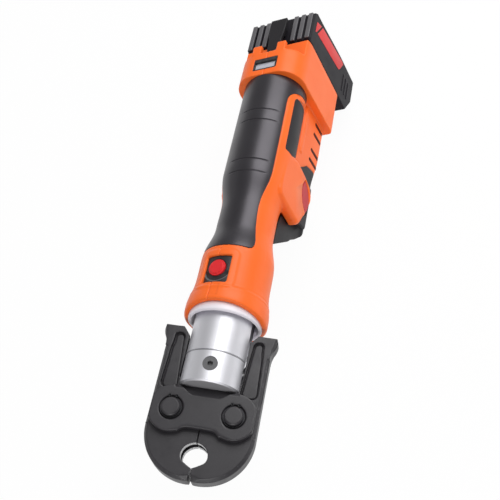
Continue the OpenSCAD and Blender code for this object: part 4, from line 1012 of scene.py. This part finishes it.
def make_ring_lugs():
    """Eyed ends of the retaining rings behind the jaw pins."""
    profile = ((1.55, 13.4), (1.55, 14.2), (1.3, 14.45), (0.6, 14.45), (0.6, 13.4))
    reach, steps = 9.6, 18
    turns = [2 * math.pi * k / steps for k in range(steps)]
    points, faces = [], []
    for level in BOTH_SIDES:
        for pin in (-PIVOT_SIDE, PIVOT_SIDE):
            for swing in (-17, 17):
                turn = math.radians(180 + swing)
                cx, cy = -PIVOT_BACK + reach * math.cos(turn), pin + reach * math.sin(turn)
                base = len(points)
                for r, z in profile:
                    points += [((cx + r * math.cos(t)) * MM, (cy + r * math.sin(t)) * MM, level * z * MM)
                               for t in turns]
                for ring in range(len(profile)):
                    a, b = base + ring * steps, base + (ring + 1) % len(profile) * steps
                    faces += [(a + k, a + (k + 1) % steps, b + (k + 1) % steps, b + k) for k in range(steps)]
    dress(closed_piece("retaining_ring_lugs", points, faces), SPRING, body=BODY_OF["jaw_retaining_rings"],
          slot="spring_steel")


for label, sign in (("right", 1), ("left", -1)):
    soften("housing_" + label, "orange_housing_" + label, ORANGE, 0.75, 4, 0.4, shape_housing,
           leaf_shell(sign, "release_button_" + label))
make_grip()
make_panels()
# Node, piece, finish, voxel in millimetres, rounds of smoothing, share of faces kept and shaping step
SOFT = [("belly_grip", "belly_skin", PANEL, 0.6, 5, 1, on_handle(tuck)),
        ("trigger", "trigger_nose", PANEL, 0.6, 6, 1, shape_trigger),
        ("release_button_right", "almond_button_right", ALMOND, 0.35, 5, 1, on_handle(fill_almond)),
        ("release_button_left", "almond_button_left", ALMOND, 0.35, 5, 1, on_handle(fill_almond)),
        ("front_button", "round_button", RED, 0.3, 6, 1, shape_button),
        ("button_bezel", "button_pad", PAD, 0.35, 3, 1, shape_pad),
        ("jaw_right", "press_jaw_right", JAW, 0.42, 2, 0.6, shape_jaw),
        ("jaw_left", "press_jaw_left", JAW, 0.42, 2, 0.6, shape_jaw),
        ("jaw_plate_top", "upper_side_plate", JAW, 0.42, 4, 0.8, shape_plate),
        ("jaw_plate_bottom", "lower_side_plate", JAW, 0.42, 4, 0.8, shape_plate),
        ("jaw_pivot_pins", "pivot_pin_heads", JAW, 0.35, 4, 1, shape_pins),
        ("battery_case", "battery_block", BATTERY, 0.75, 4, 0.5, shape_battery),
        ("battery_latch", "latch_tab", PANEL, 0.45, 4, 1, shape_latch)]
for row in SOFT:
    soften(*row)
make_belly_corners()
make_swivel_ring()
make_rows()
make_stripes()
make_window_frame_and_shade_band()
make_ring_lugs()


# Floor, light and camera

def make_floor():
    """White paper that glows for the camera."""
    mesh = bpy.data.meshes.new("studio_floor")
    half, level = 4.0, cad_low.z - 0.0005
    mesh.from_pydata([(-half, -half, level), (half, -half, level), (half, half, level), (-half, half, level)], [],
                     [(0, 1, 2, 3)])
    floor = link("studio_floor", mesh)
    material = bpy.data.materials.new("studio_floor_white")
    material.use_nodes = True
    tree = material.node_tree
    tree.nodes.clear()
    rays = put(tree, "ShaderNodeLightPath").outputs
    seen = math_node(tree, "MAXIMUM", rays["Is Camera Ray"],
                     math_node(tree, "MAXIMUM", rays["Is Glossy Ray"], rays["Is Transmission Ray"]))
    paper = put(tree, "ShaderNodeBsdfDiffuse", {"Color": (0.88, 0.88, 0.89, 1)})
    glow = put(tree, "ShaderNodeEmission", {"Color": (1, 1, 1, 1), "Strength": 1})
    mix = put(tree, "ShaderNodeMixShader", {0: times(tree, seen, 0.955), 1: paper.outputs[0],
                                            2: glow.outputs[0]})
    put(tree, "ShaderNodeOutputMaterial", {"Surface": mix.outputs[0]})
    mesh.materials.append(material)


def make_world():
    world = bpy.data.worlds.new("studio_room")
    scene.world = world
    world.use_nodes = True
    tree = world.node_tree
    tree.nodes.clear()
    rays = put(tree, "ShaderNodeLightPath").outputs
    strength = remap(tree, rays["Is Camera Ray"], 0, 1, 0.34, 1)
    back = put(tree, "ShaderNodeBackground", {"Color": (1, 1, 1, 1), "Strength": strength})
    put(tree, "ShaderNodeOutputWorld", {"Surface": back.outputs[0]})


# Place and axes of the camera
EYE = (0.14498, 0.10676, 0.55422)
RIGHT = Vector((-0.18134, 0.98116, -0.06672))
DOWN = Vector((0.84077, 0.11948, -0.52805))
AHEAD = Vector((-0.51012, -0.15185, -0.84659))


def make_camera():
    data = bpy.data.cameras.new("photo_camera")
    data.sensor_width = 36
    data.lens = 53.8
    data.clip_start = 0.01
    camera = link("photo_camera", data)
    turn = Matrix((RIGHT, -DOWN, -AHEAD)).transposed()
    camera.matrix_world = Matrix.Translation(EYE) @ turn.to_4x4()
    scene.camera = camera


def soft_box(name, angle, lean, reach, width, length, power):
    """A soft box turned round the tool axis by an angle from straight up, leaning along the axis."""
    data = bpy.data.lights.new(name, "AREA")
    data.shape = "RECTANGLE"
    data.size, data.size_y = length, width
    data.energy = power
    lamp = link(name, data)
    turn, tip = math.radians(angle), math.radians(lean)
    out = Vector((math.sin(tip), math.cos(tip) * math.sin(turn), math.cos(tip) * math.cos(turn)))
    across = out.cross(Vector((1, 0, 0))).normalized()
    along = across.cross(out).normalized()
    place = Vector((-0.2, 0, -0.02)) + out * reach
    lamp.matrix_world = Matrix.Translation(place) @ Matrix((along, across, out)).transposed().to_4x4()


make_floor()
make_world()
make_camera()
soft_box("soft_box_top", 12, -31, 1.25, 0.9, 1.0, 12.6)
soft_box("soft_box_right", 84, -12, 1.1, 0.45, 1.1, 1.8)
soft_box("soft_box_left", -70, -10, 1.2, 0.5, 1.0, 0.5)
soft_box("soft_box_front", 4, 62, 1.2, 0.6, 0.3, 4.2)
